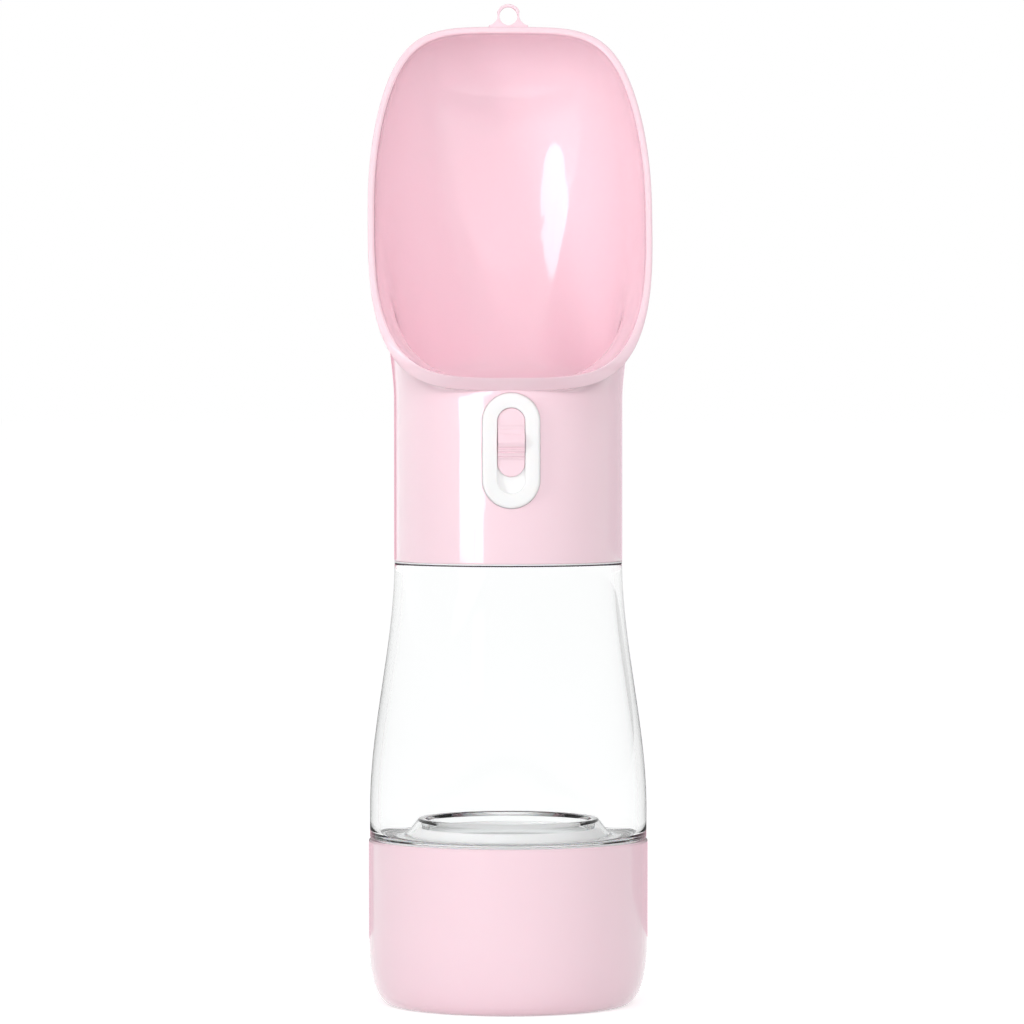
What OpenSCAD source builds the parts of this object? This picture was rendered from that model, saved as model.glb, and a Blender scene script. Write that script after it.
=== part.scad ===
// Dog travel water bottle: a drinking trough on a pocket bottle, over a screw-on food cup.
// Millimetres. +Z is up, the origin is the centre of the food cup's base, and the
// trough, the button and its lock face -Y.

/* [Food cup] */
// Outer radius of the food cup
cup_r = 34.9; // [32:0.1:37]
// Height of the cup's rim above its base
cup_h = 41.4; // [38:0.1:46]
// Thickness of the cup's side wall
cup_wall = 2.0; // [1.8:0.1:2.6]
// Thickness of the cup's base
cup_base = 2.5; // [2:0.1:4]
// How far the rounded foot of the cup draws in
cup_foot_in = 6.5; // [4:0.1:9]
// Height of the rounded foot of the cup
cup_foot_h = 12; // [8:0.5:16]

/* [Clear bottle] */
// How far the bottle's base lies inside the cup's outer face
base_step = 0.3; // [0.1:0.1:1]
// Wall thickness of the bottle
bottle_wall = 2.0; // [1.6:0.1:2.4]
// Height of the clear body, from the cup's seam to the head's seam
bottle_h = 68.5; // [60:0.5:80]
// Height above the cup's seam where the waist begins to narrow
waist_low = 7.3; // [4:0.1:14]
// Wall thickness of the threaded mouth
mouth_wall = 1.7; // [1.5:0.1:2]
// Height of the threaded mouth above the bottle's shoulder
mouth_h = 9.0; // [8.8:0.1:9.6]
// Wall thickness of the spigot
spigot_wall = 2.0; // [1.6:0.1:2.4]
// Depth of the spigot below the cup's seam
spigot_h = 10.2; // [9.8:0.1:11]
// Radius of the raised ring in the bottle's floor, at its top
punt_r = 22.4; // [20:0.1:24]
// Height of the raised ring above the bottle's floor
punt_h = 4.6; // [3.5:0.1:5.5]
// Depth of the dish inside the raised ring
punt_dish = 1.6; // [1:0.1:2]

/* [Threads] */
// Rise of a thread in one turn
thread_lead = 3.0; // [2.8:0.1:3.2]
// Radial height of the thread ridges at the bottle's mouth
ridge_h = 1.1; // [0.9:0.05:1.2]
// Radial height of the thread ridges at the food cup
cup_ridge_h = 1.3; // [1.1:0.05:1.4]
// Width of a ridge at its root
ridge_root = 1.5; // [1.2:0.05:1.6]
// Width of a ridge at its crest
ridge_crest = 0.7; // [0.5:0.05:0.8]
// Radial clearance between a crest and the opposite wall
crest_gap = 0.4; // [0.35:0.05:0.5]
// Axial distance between the two mating ridges
ridge_offset = 1.25; // [1.2:0.05:1.5]
// Number of ridge segments on each thread, six to a turn
ridge_segments = 8; // [6:1:8]

/* [Head] */
// Outer radius of the neck
neck_r = 28.5; // [28.3:0.1:29]
// Wall thickness of the neck round the valve's socket
neck_wall = 1.6; // [1.5:0.1:1.8]
// Gap between the head and the bottle's shoulder, and between bottle and cup
seam_gap = 0.3; // [0.3:0.05:0.6]
// Height of the head from its lower edge to the trough's top edge
head_h = 133.5; // [125:0.5:145]
// Height of the trough's front lip above the head's lower edge
lip_h = 43.1; // [43:0.1:44]
// Height of the trough's widest place above the head's lower edge
bowl_mid_h = 86.5; // [80:0.5:95]
// How far the trough's widest place stands out past the cup's side
bowl_over = 0.2; // [-2:0.1:2]
// How far the lip stands in front of the neck's axis
lip_reach = 32.8; // [32:0.1:34]
// How far the trough's top edge stands in front of the neck's axis
top_reach = 3.0; // [0:0.5:8]
// Width of the trough's rim
rim_band = 1.6; // [1.4:0.1:2]
// Height of the band under the lip
lip_band = 3.0; // [2.6:0.1:3.4]
// Depth that the trough's back bows behind its top edge
back_bow = 30; // [24:1:36]

/* [Lanyard lug] */
// Radius of the lug's hole
lug_hole_r = 2.25; // [2:0.05:2.5]
// Width of the ring round the lug's hole
lug_ring = 0.75; // [0.7:0.05:1.2]
// Thickness of the lug
lug_t = 2.4; // [2:0.1:3]
// Height of the hole's centre above the trough's top edge
lug_rise = 2.75; // [2.6:0.05:3.4]

/* [Button and lock] */
// Width of the button
button_w = 14.2; // [13.6:0.1:14.6]
// Height of the button
button_h = 28.4; // [27.4:0.1:28.4]
// Height of the button's centre above the head's lower edge
button_rise = 28.3; // [28:0.1:28.4]
// How far the button stands proud of the neck
button_proud = 1.1; // [0.8:0.1:1.6]
// How far the button is pressed in
press_travel = 2.5; // [2:0.1:2.6]
// Clearance round the button in the neck
button_gap = 0.25; // [0.2:0.05:0.4]
// How far the retaining flange is wider than the button on each side
flange_over = 1.3; // [1:0.1:1.5]
// Thickness of the retaining flange
flange_t = 1.6; // [1.4:0.1:1.8]
// Width of the slot for the lock
slot_w = 6.9; // [6.5:0.1:7.4]
// Height of the slot for the lock
slot_h = 21.1; // [20.5:0.1:21.6]
// Depth of the slot below the button's face
slot_depth = 2.4; // [2.0:0.1:2.8]
// Width of the lock's shank behind its pad
shank_w = 3.2; // [2.8:0.1:3.6]
// Height of the lock's shank
shank_h = 7.0; // [6:0.1:8]
// Clearance round the lock in its slot
lock_gap = 0.23; // [0.2:0.01:0.3]
// Height of the lock's pad
lock_h = 16.6; // [16:0.1:17]
// How far the lock's pad lies below the button's face
lock_recess = 0.6; // [0.4:0.1:1]
// Height of the thumb ridge on the lock
hump_h = 2.6; // [2:0.1:3]
// Length of the thumb ridge up and down the lock
hump_len = 8.6; // [7:0.1:9.5]

/* [Valve] */
// Distance of the valve's axis in front of the neck's axis
valve_fwd = 7; // [6.8:0.1:7.2]
// Distance of the outlet's axis behind the neck's axis
outlet_back = 9; // [8.8:0.1:9.4]
// Radius of the valve's port
port_r = 4.0; // [3.6:0.1:4.2]
// Radius of the sealing plug
plug_r = 5.6; // [5.3:0.1:6]
// Radius of the outlet's bore
outlet_r = 2.6; // [2.2:0.1:2.7]
// Radius of the valve's stem
stem_r = 1.5; // [1.3:0.05:1.5]
// Running clearance of the stem in its guide
stem_gap = 0.1; // [0.08:0.01:0.1]
// Wall thickness of the valve body's skirt
skirt_wall = 1.2; // [1.1:0.05:1.3]
// Radius of the return spring's coil, to the wire's centre
spring_r = 3.0; // [2.8:0.05:3.2]
// Radius of the return spring's wire
spring_wire_r = 0.35; // [0.3:0.01:0.38]
// Number of curls in the return spring
spring_curls = 4; // [3:1:4]

/* [Hidden] */
$fn = 96;
EPS = 0.01;

PINK = [0.98, 0.85, 0.89];
WHITE = [0.97, 0.97, 0.97];
CLEAR = [0.86, 0.91, 0.94, 0.4];
SILICONE = [0.88, 0.89, 0.91];
STEEL = [0.72, 0.73, 0.75];

// Seams and shared radii
cup_seam = cup_h + seam_gap;
shoulder_z = cup_seam + bottle_h;
head_z = shoulder_z + seam_gap;
cup_inner_r = cup_r - cup_wall;
bottle_base_r = cup_r - base_step;
waist_z0 = cup_seam + waist_low;
waist_z1 = shoulder_z + 0.8;
mouth_top = shoulder_z + mouth_h;
floor_z = cup_seam + 0.3;
floor_t = 2.0;
spigot_z = cup_seam - spigot_h;
spigot_r = cup_inner_r - cup_ridge_h - crest_gap;
spigot_inner_r = spigot_r - spigot_wall;
ridge_pitch_angle = 60;
ridge_arc = 50;

// Gaskets
gasket_t = 1.6;
gasket_gap = 0.1;
cup_gasket_z = cup_seam - gasket_gap - gasket_t;
neck_gasket_z = mouth_top + gasket_gap;

// Valve body: skirt, plate and outlet chamber
socket_r = neck_r - neck_wall;
body_gap = 0.1;
skirt_r = socket_r - body_gap;
skirt_inner_r = skirt_r - skirt_wall;
skirt_z = head_z + 0.5;
mouth_r = skirt_inner_r - ridge_h - crest_gap;
mouth_inner_r = mouth_r - mouth_wall;
plate_z = neck_gasket_z + gasket_t + gasket_gap;
plate_t = 1.8;
plate_top = plate_z + plate_t;
bead_r = 0.35;
bead_z = skirt_z + 1.6;
ridge_lag = 120;
neck_ridge_z = shoulder_z + 2.2;
cup_ridge_z = spigot_z + 1.7;
chamber_wall = 1.8;
chamber_r = 6.0;
chamber_h = 6.2;
chamber_top = plate_top + chamber_h;
chamber_gasket_t = 1.0;
cap_z = chamber_top + chamber_gasket_t;
cap_t = 3.0;
cap_top = cap_z + cap_t;
ear_x = 9.6;
ear_r = 2.4;
screw_r = 0.85;
screw_head_r = 2.0;
screw_head_t = 1.4;
nipple_wall = 1.0;
nipple_h = 4.0;
sleeve_wall = 1.2;
sleeve_gap = 0.05;
ring_r = 0.75;
ring_coil_r = stem_r + stem_gap + ring_r;
gland_r = ring_coil_r + ring_r + 0.05;
gland_depth = 2 * ring_r + 0.3;
vent_x = 15.5;
vent_y = 1;
vent_r = 1.5;
seat_drop = 0.6;
plug_gap = 0.2;
plug_t = 1.8;

// Spring and follower
washer_t = 0.6;
washer_r = 4.2;
spring_z = cap_top + washer_t;
spring_h = 6.0;
follower_z = spring_z + spring_h;
follower_r = 3.4;
collar_r = 4.0;
collar_t = 1.0;
ramp_mid_z = follower_z + collar_t + follower_r + 0.2;
ramp_gap = 0.2;
ramp_top = 3.4;

// Button and lock, measured forward from the neck's axis
bore_r = socket_r - 1.0;
button_z = head_z + button_rise;
button_r = button_w / 2;
button_face = neck_r + button_proud;
flange_r = button_r + flange_over;
flange_face = sqrt(pow(bore_r, 2) - pow(flange_r, 2)) - 0.3;
flange_rear = flange_face - flange_t;
flange_top = button_h / 2 - 1.0;
slot_top = button_z + slot_h / 2;
lock_r = slot_w / 2 - lock_gap;
lock_z = slot_top - lock_gap - lock_h / 2;
lock_travel = slot_h - lock_h - 2 * lock_gap;
lock_face = button_face - lock_recess;
slot_floor = button_face - slot_depth;
pad_rear = slot_floor + 0.2;
guide_high = lock_z + shank_h / 2 + lock_gap;
guide_low = lock_z - shank_h / 2 - lock_travel - lock_gap;
plate_gap = 0.3;
lock_plate_face = flange_rear - plate_gap;
lock_plate_t = 1.2;
lock_plate_w = 10;
lock_plate_h = 14;
peg_r = 1.1;
peg_z = 2.0;
leg_in = lock_plate_w / 2 + 0.6;
leg_t = 1.8;
web_back = 5.7;
web_rear = flange_rear - web_back;
web_t = 2.0;
wedge_w = 6.0;
ramp_low = 2.3;
web_over = 1.7;
wedge_base = ramp_mid_z + ramp_gap - ramp_low;
wedge_top = ramp_mid_z + ramp_gap + ramp_top + web_over;

// Trough
bowl_w = 2 * (cup_r + bowl_over);
bowl_top = head_z + head_h;
bowl_mid = head_z + bowl_mid_h;
lip_z = head_z + lip_h;
bore_drop = 3.4;
floor_skin = 2.4;
bore_top = lip_z - bore_drop;
drain_z = bore_top + floor_skin;
floor_slope = 0.1;
foot_round = 0.5;
around = 56;
outer_steps = 12;
inner_steps = 10;
floor_steps = 6;
rim_steps = 4;

// ---------- shared shapes ----------

// Ease from 0 to 1 with level ends
function ease(t) = let (c = min(1, max(0, t))) c * c * (3 - 2 * c);

// Outer radius of the clear body at height z
function bottle_r(z) =
    bottle_base_r + (neck_r - 0.05 - bottle_base_r) * ease((z - waist_z0) / (waist_z1 - waist_z0));

// Turns a shape drawn flat so that its height points to the front
module facing() {
    rotate([90, 0, 0]) children();
}

module ring(r_out, r_in, z, h) {
    translate([0, 0, z]) difference() {
        cylinder(r = r_out, h = h);
        translate([0, 0, -EPS]) cylinder(r = r_in, h = h + 2 * EPS);
    }
}

// Flat outline with two round ends, upright on the page
module stadium(r, total) {
    straight = total - 2 * r;
    for (side = [-1, 1]) translate([0, side * straight / 2]) circle(r = r);
    square([2 * r, straight], center = true);
}

// Upright-ended slab whose front edge is rounded by edge
module soft_stadium(r, total, h, edge) {
    straight = total - 2 * r;
    profile = concat([[0, 0], [r, 0]],
        [for (a = [0 : 15 : 90]) [r - edge + edge * cos(a), h - edge + edge * sin(a)]], [[0, h]]);
    for (side = [-1, 1]) translate([0, side * straight / 2, 0]) rotate_extrude() polygon(profile);
    rotate([90, 0, 0]) linear_extrude(straight, center = true) {
        polygon(profile);
        mirror([1, 0]) polygon(profile);
    }
}

// Interrupted screw ridge: short arcs laid along one right-hand helix.
// rise is the ridge's height away from the wall at r, outwards or inwards.
module screw_ridge(r, rise, root, crest, z, start) {
    bury = 0.4 * sign(rise);
    // The flanks run straight on into the wall
    wide = root / 2 + (root - crest) / 2 * abs(bury / rise);
    tilt = atan(thread_lead / (2 * PI * (r + rise / 2)));
    for (k = [0 : ridge_segments - 1]) {
        a = start + k * ridge_pitch_angle;
        translate([0, 0, z + thread_lead * k * ridge_pitch_angle / 360])
            rotate([0, 0, a]) rotate([tilt, 0, 0]) rotate([0, 0, -ridge_arc / 2])
                rotate_extrude(angle = ridge_arc)
                    polygon([[r - bury, -wide], [r + rise, -crest / 2], [r + rise, crest / 2],
                        [r - bury, wide]]);
    }
}

// ---------- food cup ----------

module food_cup() {
    foot = [for (a = [0 : 10 : 90])
        [cup_r - cup_foot_in * (1 - pow(sin(a), 0.8)), cup_foot_h * (1 - pow(cos(a), 0.8))]];
    inner_foot = [for (a = [90 : -10 : 0])
        [cup_inner_r - cup_foot_in * (1 - pow(sin(a), 0.8)),
            cup_base + (cup_foot_h - cup_base) * (1 - pow(cos(a), 0.8))]];
    color(PINK) union() {
        rotate_extrude()
            polygon(concat([[0, 0]], foot,
                [[cup_r, cup_h - 0.4], [cup_r - 0.4, cup_h], [cup_inner_r, cup_h]],
                inner_foot, [[0, cup_base]]));
        screw_ridge(cup_inner_r, -cup_ridge_h, ridge_root, ridge_crest,
            cup_ridge_z + ridge_offset, 0);
    }
}

module cup_gasket() {
    color(SILICONE) ring(cup_inner_r - 0.2, spigot_r + gasket_gap, cup_gasket_z, gasket_t);
}

// ---------- clear bottle ----------

module bottle() {
    steps = 18;
    body_z = [for (k = [0 : steps]) cup_seam + 0.5 + (shoulder_z - 0.4 - cup_seam - 0.5) * k / steps];
    inner_top = shoulder_z - 4.5;
    inner_z = [for (k = [steps : -1 : 0]) floor_z + 0.8 + (inner_top - floor_z - 0.8) * k / steps];
    punt_top = floor_z + punt_h;
    punt_foot_r = punt_r + 3.6;
    punt_under = punt_top - punt_dish - floor_t;
    color(CLEAR) union() {
        rotate_extrude()
            polygon(concat(
                [[0, punt_under], [punt_r - 1.8, punt_under], [punt_foot_r - 1.6, floor_z - floor_t],
                    [spigot_inner_r, floor_z - floor_t], [spigot_inner_r, spigot_z], [spigot_r, spigot_z],
                    [spigot_r, cup_seam], [bottle_base_r - 0.4, cup_seam]],
                [for (z = body_z) [bottle_r(z), z]],
                [[neck_r - 0.45, shoulder_z], [mouth_r, shoulder_z], [mouth_r, mouth_top - 0.3],
                    [mouth_r - 0.3, mouth_top], [mouth_inner_r, mouth_top], [mouth_inner_r, shoulder_z - 0.9]],
                [for (z = inner_z) [bottle_r(z) - bottle_wall, z]],
                [[bottle_r(floor_z) - bottle_wall - 0.8, floor_z], [punt_foot_r, floor_z],
                    [punt_r, punt_top], [punt_r - 1.6, punt_top],
                    [punt_r - 2.4, punt_top - punt_dish], [0, punt_top - punt_dish]]));
        screw_ridge(mouth_r, ridge_h, ridge_root, ridge_crest, neck_ridge_z, 0);
        screw_ridge(spigot_r, cup_ridge_h, ridge_root, ridge_crest, cup_ridge_z, 0);
    }
}

module neck_gasket() {
    color(SILICONE) ring(mouth_r - 0.1, mouth_inner_r + 0.1, neck_gasket_z, gasket_t);
}

// ---------- head shell ----------

function signed_pow(c, p) = sign(c) * pow(abs(c), p);

// How far forward the rim's edge stands at height z, as a Y coordinate
function rim_y(z) = let (t = max(0, (bowl_top - z) / (bowl_top - lip_z)))
    -top_reach - (lip_reach - top_reach) * pow(t, 1.15);

// A point of the rim's outline. u is -90 at the lip, 0 at the +X side and 90 at the top.
function rim_point(u, inset, lip_inset) =
    let (c = cos(u), s = sin(u),
        n = s >= 0 ? 2.5 + 1.45 * s * s : 3.2 + 0.3 * s * s,
        h = s >= 0 ? bowl_top - bowl_mid - inset : bowl_mid - lip_z - lip_inset,
        z = bowl_mid + h * signed_pow(s, 2 / n))
    [(bowl_w / 2 - inset) * signed_pow(c, 2 / n), rim_y(z), z];

function bezier(p0, p1, p2, p3, t) = let (q = 1 - t)
    q * q * q * p0 + 3 * q * q * t * p1 + 3 * q * t * t * p2 + t * t * t * p3;

function on_neck(u, r, z) = [r * cos(u), r * sin(u), z];

// Share of the way round from the lip, 0, to the top, 1
function upness(u) = (sin(u) + 1) / 2;

// Outer skin: from the neck's circle up and forward to the rim
function outer_point(u, t) =
    let (low = on_neck(u, neck_r, lip_z - 2.6 + 2.4 * pow(1 - upness(u), 4)),
        edge = rim_point(u, 0, 0))
    bezier(low, low + [0, 0, 0.3 * (edge.z - low.z)], edge + [0, 3 + (back_bow - 3) * upness(u), 0],
        edge, t);

// Half-round lip of the rim, from its outer to its inner edge
function rim_round(u, t) =
    let (b = (1 - cos(180 * t)) / 2)
    rim_point(u, rim_band * b, lip_band * b) - [0, 0.6 * sin(180 * t), 0];

function trough_floor(y) = drain_z + floor_slope * abs(y - outlet_back);

// Where the trough's wall turns into its floor
function floor_edge(u) = let (r = neck_r - 2.2, y = r * sin(u))
    on_neck(u, r, trough_floor(y) + 0.2 + 8 * upness(u));

// Inner skin: from the rim back and down to the floor's edge
function inner_point(u, t) =
    let (low = floor_edge(u), edge = rim_point(u, rim_band, lip_band))
    bezier(edge, edge + [0, 2 + (back_bow - 4) * upness(u), 0], low + [0, 0, 0.3 * (edge.z - low.z)],
        low, t);

// Floor: a rounded corner that runs in to the drain
function floor_point(u, t) =
    let (low = floor_edge(u), a = 90 * t, n = 2.6,
        across = pow(cos(a), 2 / n), down = pow(sin(a), 2 / n),
        y = outlet_back + (low.y - outlet_back) * across)
    [low.x * across, y, trough_floor(y) + (low.z - trough_floor(low.y)) * (1 - down)];

module head_skin() {
    angles = [for (i = [0 : around - 1]) -90 + 360 * i / around];
    rings = concat(
        [[for (u = angles) on_neck(u, neck_r - foot_round, head_z)],
            [for (u = angles) on_neck(u, neck_r, head_z + foot_round)]],
        [for (k = [0 : outer_steps]) [for (u = angles) outer_point(u, k / outer_steps)]],
        [for (k = [1 : rim_steps]) [for (u = angles) rim_round(u, k / rim_steps)]],
        [for (k = [1 : inner_steps]) [for (u = angles) inner_point(u, k / inner_steps)]],
        [for (k = [1 : floor_steps - 1]) [for (u = angles) floor_point(u, k / floor_steps)]]);
    points = concat([for (r = rings) each r], [[0, outlet_back, drain_z]]);
    last = len(rings) - 1;
    pole = len(points) - 1;
    faces = concat(
        [[for (i = [0 : around - 1]) i]],
        [for (k = [0 : last - 1], i = [0 : around - 1]) let (a = k * around + i,
            b = k * around + (i + 1) % around) [a, a + around, b + around]],
        [for (k = [0 : last - 1], i = [0 : around - 1]) let (a = k * around + i,
            b = k * around + (i + 1) % around) [a, b + around, b]],
        [for (i = [0 : around - 1]) [last * around + i, pole, last * around + (i + 1) % around]]);
    polyhedron(points, faces);
}

module lanyard_lug() {
    lug_z = bowl_top + lug_rise;
    foot_z = bowl_top - 1.2;
    foot_w = 9.8;
    r = lug_hole_r + lug_ring;
    fillet_r = 2.6;
    translate([0, -top_reach + 1.8, 0]) facing() linear_extrude(lug_t, center = true)
        translate([0, lug_z]) difference() {
            union() {
                circle(r = r);
                translate([-foot_w / 2, foot_z - lug_z]) square([foot_w, -foot_z + lug_z]);
            }
            circle(r = lug_hole_r);
            for (side = [-1, 1]) translate([side * (r + fillet_r - 0.35), 0.3])
                circle(r = fillet_r);
        }
}

module head_shell() {
    nipple_r = outlet_r + nipple_wall;
    color(PINK) difference() {
        union() {
            difference() {
                head_skin();
                // Socket for the valve body, with its snap groove, and the dry bore above it
                translate([0, 0, head_z - 1]) cylinder(r = socket_r, h = plate_top + 0.1 - head_z + 1);
                translate([0, 0, bead_z - 0.8]) cylinder(r = socket_r + bead_r, h = 1.6);
                translate([0, 0, plate_top - 1]) cylinder(r = bore_r, h = bore_top - plate_top + 1);
                // Room above the bore for the button's flange
                intersection() {
                    translate([0, 0, plate_top]) cylinder(r = bore_r - 0.1, h = lip_z - plate_top);
                    translate([-flange_r - 0.8, -bore_r - 1, bore_top - 2])
                        cube([2 * flange_r + 1.6, bore_r + 1 - flange_rear + press_travel + 0.4,
                            button_z + button_h / 2 + button_gap - bore_top + 2]);
                }
            }
            translate([0, outlet_back, bore_top - nipple_h]) cylinder(r = nipple_r, h = nipple_h + 1);
            lanyard_lug();
        }
        // Window for the button
        translate([0, 0, button_z]) facing()
            translate([0, 0, flange_rear]) linear_extrude(neck_r + 3 - flange_rear)
                stadium(button_r + button_gap, button_h + 2 * button_gap);
        // Outlet from the valve chamber into the trough
        translate([0, outlet_back, bore_top - nipple_h - 1]) cylinder(r = outlet_r, h = nipple_h + 3 * floor_skin);
    }
}

// ---------- valve body ----------

// Outline of the outlet chamber, from the port to the outlet
module chamber_outline(r) {
    translate([0, -valve_fwd]) circle(r = r);
    translate([0, outlet_back]) circle(r = r);
    translate([-r, -valve_fwd]) square([2 * r, valve_fwd + outlet_back]);
}

module at_ears() {
    for (x = [-ear_x, ear_x], y = [-valve_fwd, outlet_back]) translate([x, y, 0]) children();
}

module valve_body() {
    color(WHITE) difference() {
        union() {
            rotate_extrude()
                polygon([[0, plate_z], [skirt_inner_r, plate_z], [skirt_inner_r, skirt_z],
                    [skirt_r, skirt_z], [skirt_r, bead_z - 0.5], [skirt_r + bead_r - 0.1, bead_z],
                    [skirt_r, bead_z + 0.5], [skirt_r, plate_top], [0, plate_top]]);
            translate([0, -valve_fwd, plate_z - seat_drop]) cylinder(r = port_r + 0.9, h = 1);
            translate([0, 0, plate_top - EPS]) linear_extrude(chamber_top - plate_top + EPS) {
                chamber_outline(chamber_r + chamber_wall);
                at_ears() circle(r = ear_r);
            }
            screw_ridge(skirt_inner_r, -(skirt_inner_r - mouth_r - crest_gap), ridge_root, ridge_crest,
                neck_ridge_z - ridge_offset + thread_lead * ridge_lag / 360, ridge_lag);
        }
        translate([0, -valve_fwd, plate_z - 2 * seat_drop]) cylinder(r = port_r, h = plate_t + 3 * seat_drop);
        translate([0, 0, plate_top]) linear_extrude(chamber_top - plate_top + 1)
            chamber_outline(chamber_r);
        at_ears() translate([0, 0, plate_top + 1]) cylinder(r = screw_r + 0.03, h = chamber_top);
        translate([vent_x, vent_y, plate_z - 1]) cylinder(r = vent_r + 0.1, h = plate_t + 2);
    }
}

module chamber_gasket() {
    color(SILICONE) translate([0, 0, chamber_top]) linear_extrude(chamber_gasket_t) difference() {
        chamber_outline(chamber_r + chamber_wall - 0.1);
        chamber_outline(chamber_r + 0.1);
        at_ears() circle(r = screw_head_r);
    }
}

module chamber_cap() {
    nipple_r = outlet_r + nipple_wall;
    color(WHITE) difference() {
        union() {
            translate([0, 0, cap_z]) linear_extrude(cap_t) {
                chamber_outline(chamber_r + chamber_wall);
                at_ears() circle(r = ear_r);
            }
            translate([0, outlet_back, cap_z]) cylinder(r = nipple_r, h = cap_t + nipple_h);
        }
        translate([0, outlet_back, cap_z - 1]) cylinder(r = outlet_r, h = cap_t + nipple_h + 2);
        translate([0, -valve_fwd, cap_z - 1]) cylinder(r = stem_r + stem_gap, h = cap_t + 2);
        translate([0, -valve_fwd, cap_top - gland_depth]) cylinder(r = gland_r, h = gland_depth + 1);
        at_ears() translate([0, 0, cap_z - 1]) cylinder(r = screw_r + 0.2, h = cap_t + 2);
    }
}

module cap_screws() {
    color(STEEL) at_ears() difference() {
        union() {
            translate([0, 0, plate_top + 1.6]) cylinder(r = screw_r, h = cap_top - plate_top - 1.5);
            translate([0, 0, cap_top]) cylinder(r = screw_head_r, h = screw_head_t);
        }
        for (a = [0, 90]) translate([0, 0, cap_top + screw_head_t]) rotate([0, 0, a])
            cube([2.4, 0.5, 1.4], center = true);
    }
}

module air_vent() {
    color(SILICONE) translate([vent_x, vent_y, 0]) {
        translate([0, 0, plate_z - 0.7]) cylinder(r = 3.2, h = 0.7);
        translate([0, 0, plate_z - EPS]) cylinder(r = vent_r, h = plate_t + 2 * EPS);
        translate([0, 0, plate_top]) cylinder(r1 = 2.1, r2 = 1.2, h = 1.2);
    }
}

module stem_o_ring() {
    color(SILICONE) translate([0, -valve_fwd, cap_top - gland_depth / 2])
        rotate_extrude() translate([ring_coil_r, 0]) circle(r = ring_r);
}

module seal_washer() {
    color(STEEL) translate([0, -valve_fwd, 0]) ring(washer_r, stem_r + 0.3, cap_top, washer_t);
}

module riser_sleeve() {
    r = outlet_r + nipple_wall + sleeve_gap;
    color(SILICONE) translate([0, outlet_back, 0])
        ring(r + sleeve_wall, r, cap_top + 0.1, bore_top - cap_top - 0.2);
}

// ---------- return spring ----------

coil_z0 = spring_z + spring_wire_r + 0.03;
coil_z1 = follower_z - spring_wire_r - 0.03;
coil_rings = 8;
coil_sides = 6;

function coil_point(t) = [spring_r * cos(360 * spring_curls * t), spring_r * sin(360 * spring_curls * t),
    coil_z0 + (coil_z1 - coil_z0) * t];

module return_spring() {
    count = coil_rings * spring_curls;
    slope = atan((coil_z1 - coil_z0) / (2 * PI * spring_r * spring_curls));
    points = [for (k = [0 : count], j = [0 : coil_sides - 1])
        let (t = k / count, a = 360 * spring_curls * t, b = 360 * j / coil_sides,
            out = spring_wire_r * cos(b), up = spring_wire_r * sin(b))
        coil_point(t) + [out * cos(a) + up * sin(slope) * sin(a),
            out * sin(a) - up * sin(slope) * cos(a), up * cos(slope)]];
    faces = concat(
        [[for (j = [0 : coil_sides - 1]) j]],
        [[for (j = [coil_sides - 1 : -1 : 0]) count * coil_sides + j]],
        [for (k = [0 : count - 1], j = [0 : coil_sides - 1]) let (a = k * coil_sides + j,
            b = k * coil_sides + (j + 1) % coil_sides) [a, a + coil_sides, b + coil_sides]],
        [for (k = [0 : count - 1], j = [0 : coil_sides - 1]) let (a = k * coil_sides + j,
            b = k * coil_sides + (j + 1) % coil_sides) [a, b + coil_sides, b]]);
    least = min([for (k = [0 : count - coil_rings], m = [k + coil_rings - 2 : count])
        norm(coil_point(k / count) - coil_point(m / count))]) - 2 * spring_wire_r;
    echo(least_gap_between_curls = least);
    color(STEEL) translate([0, -valve_fwd, 0]) polyhedron(points, faces);
}

// ---------- button and lock ----------

module press_button() {
    color(WHITE) translate([0, 0, button_z]) facing() difference() {
        union() {
            translate([0, 0, flange_face]) soft_stadium(button_r, button_h, button_face - flange_face, 0.8);
            translate([0, 0, flange_rear]) linear_extrude(flange_t) intersection() {
                stadium(flange_r, button_h + 2 * flange_over);
                square([4 * flange_r, 2 * flange_top], center = true);
            }
        }
        translate([0, 0, slot_floor]) linear_extrude(slot_depth + 1) stadium(slot_w / 2, slot_h);
        // Guide slot for the lock's shank, hidden behind the pad while the lock is up
        translate([-shank_w / 2 - lock_gap, guide_low - button_z, flange_rear - 1])
            cube([shank_w + 2 * lock_gap, guide_high - guide_low, slot_floor]);
    }
}

module wedge_carrier() {
    leg_out = leg_in + leg_t;
    ramp_y = ramp_mid_z + ramp_gap;
    color(WHITE) union() {
        for (side = [-1, 1]) translate([side * (leg_in + leg_t / 2) - leg_t / 2, -flange_rear, wedge_base])
            cube([leg_t, flange_rear - web_rear, wedge_top - wedge_base]);
        translate([-leg_out, -web_rear - web_t, wedge_base])
            cube([2 * leg_out, web_t, wedge_top - wedge_base]);
        // The ramp's lower face climbs to the rear at 45 degrees
        rotate([90, 0, 90]) linear_extrude(wedge_w, center = true)
            polygon([[-web_rear - 1, wedge_base], [wedge_base - ramp_y - valve_fwd, wedge_base],
                [ramp_top - valve_fwd, ramp_y + ramp_top], [ramp_top - valve_fwd, wedge_top],
                [-web_rear - 1, wedge_top]]);
    }
}

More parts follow.
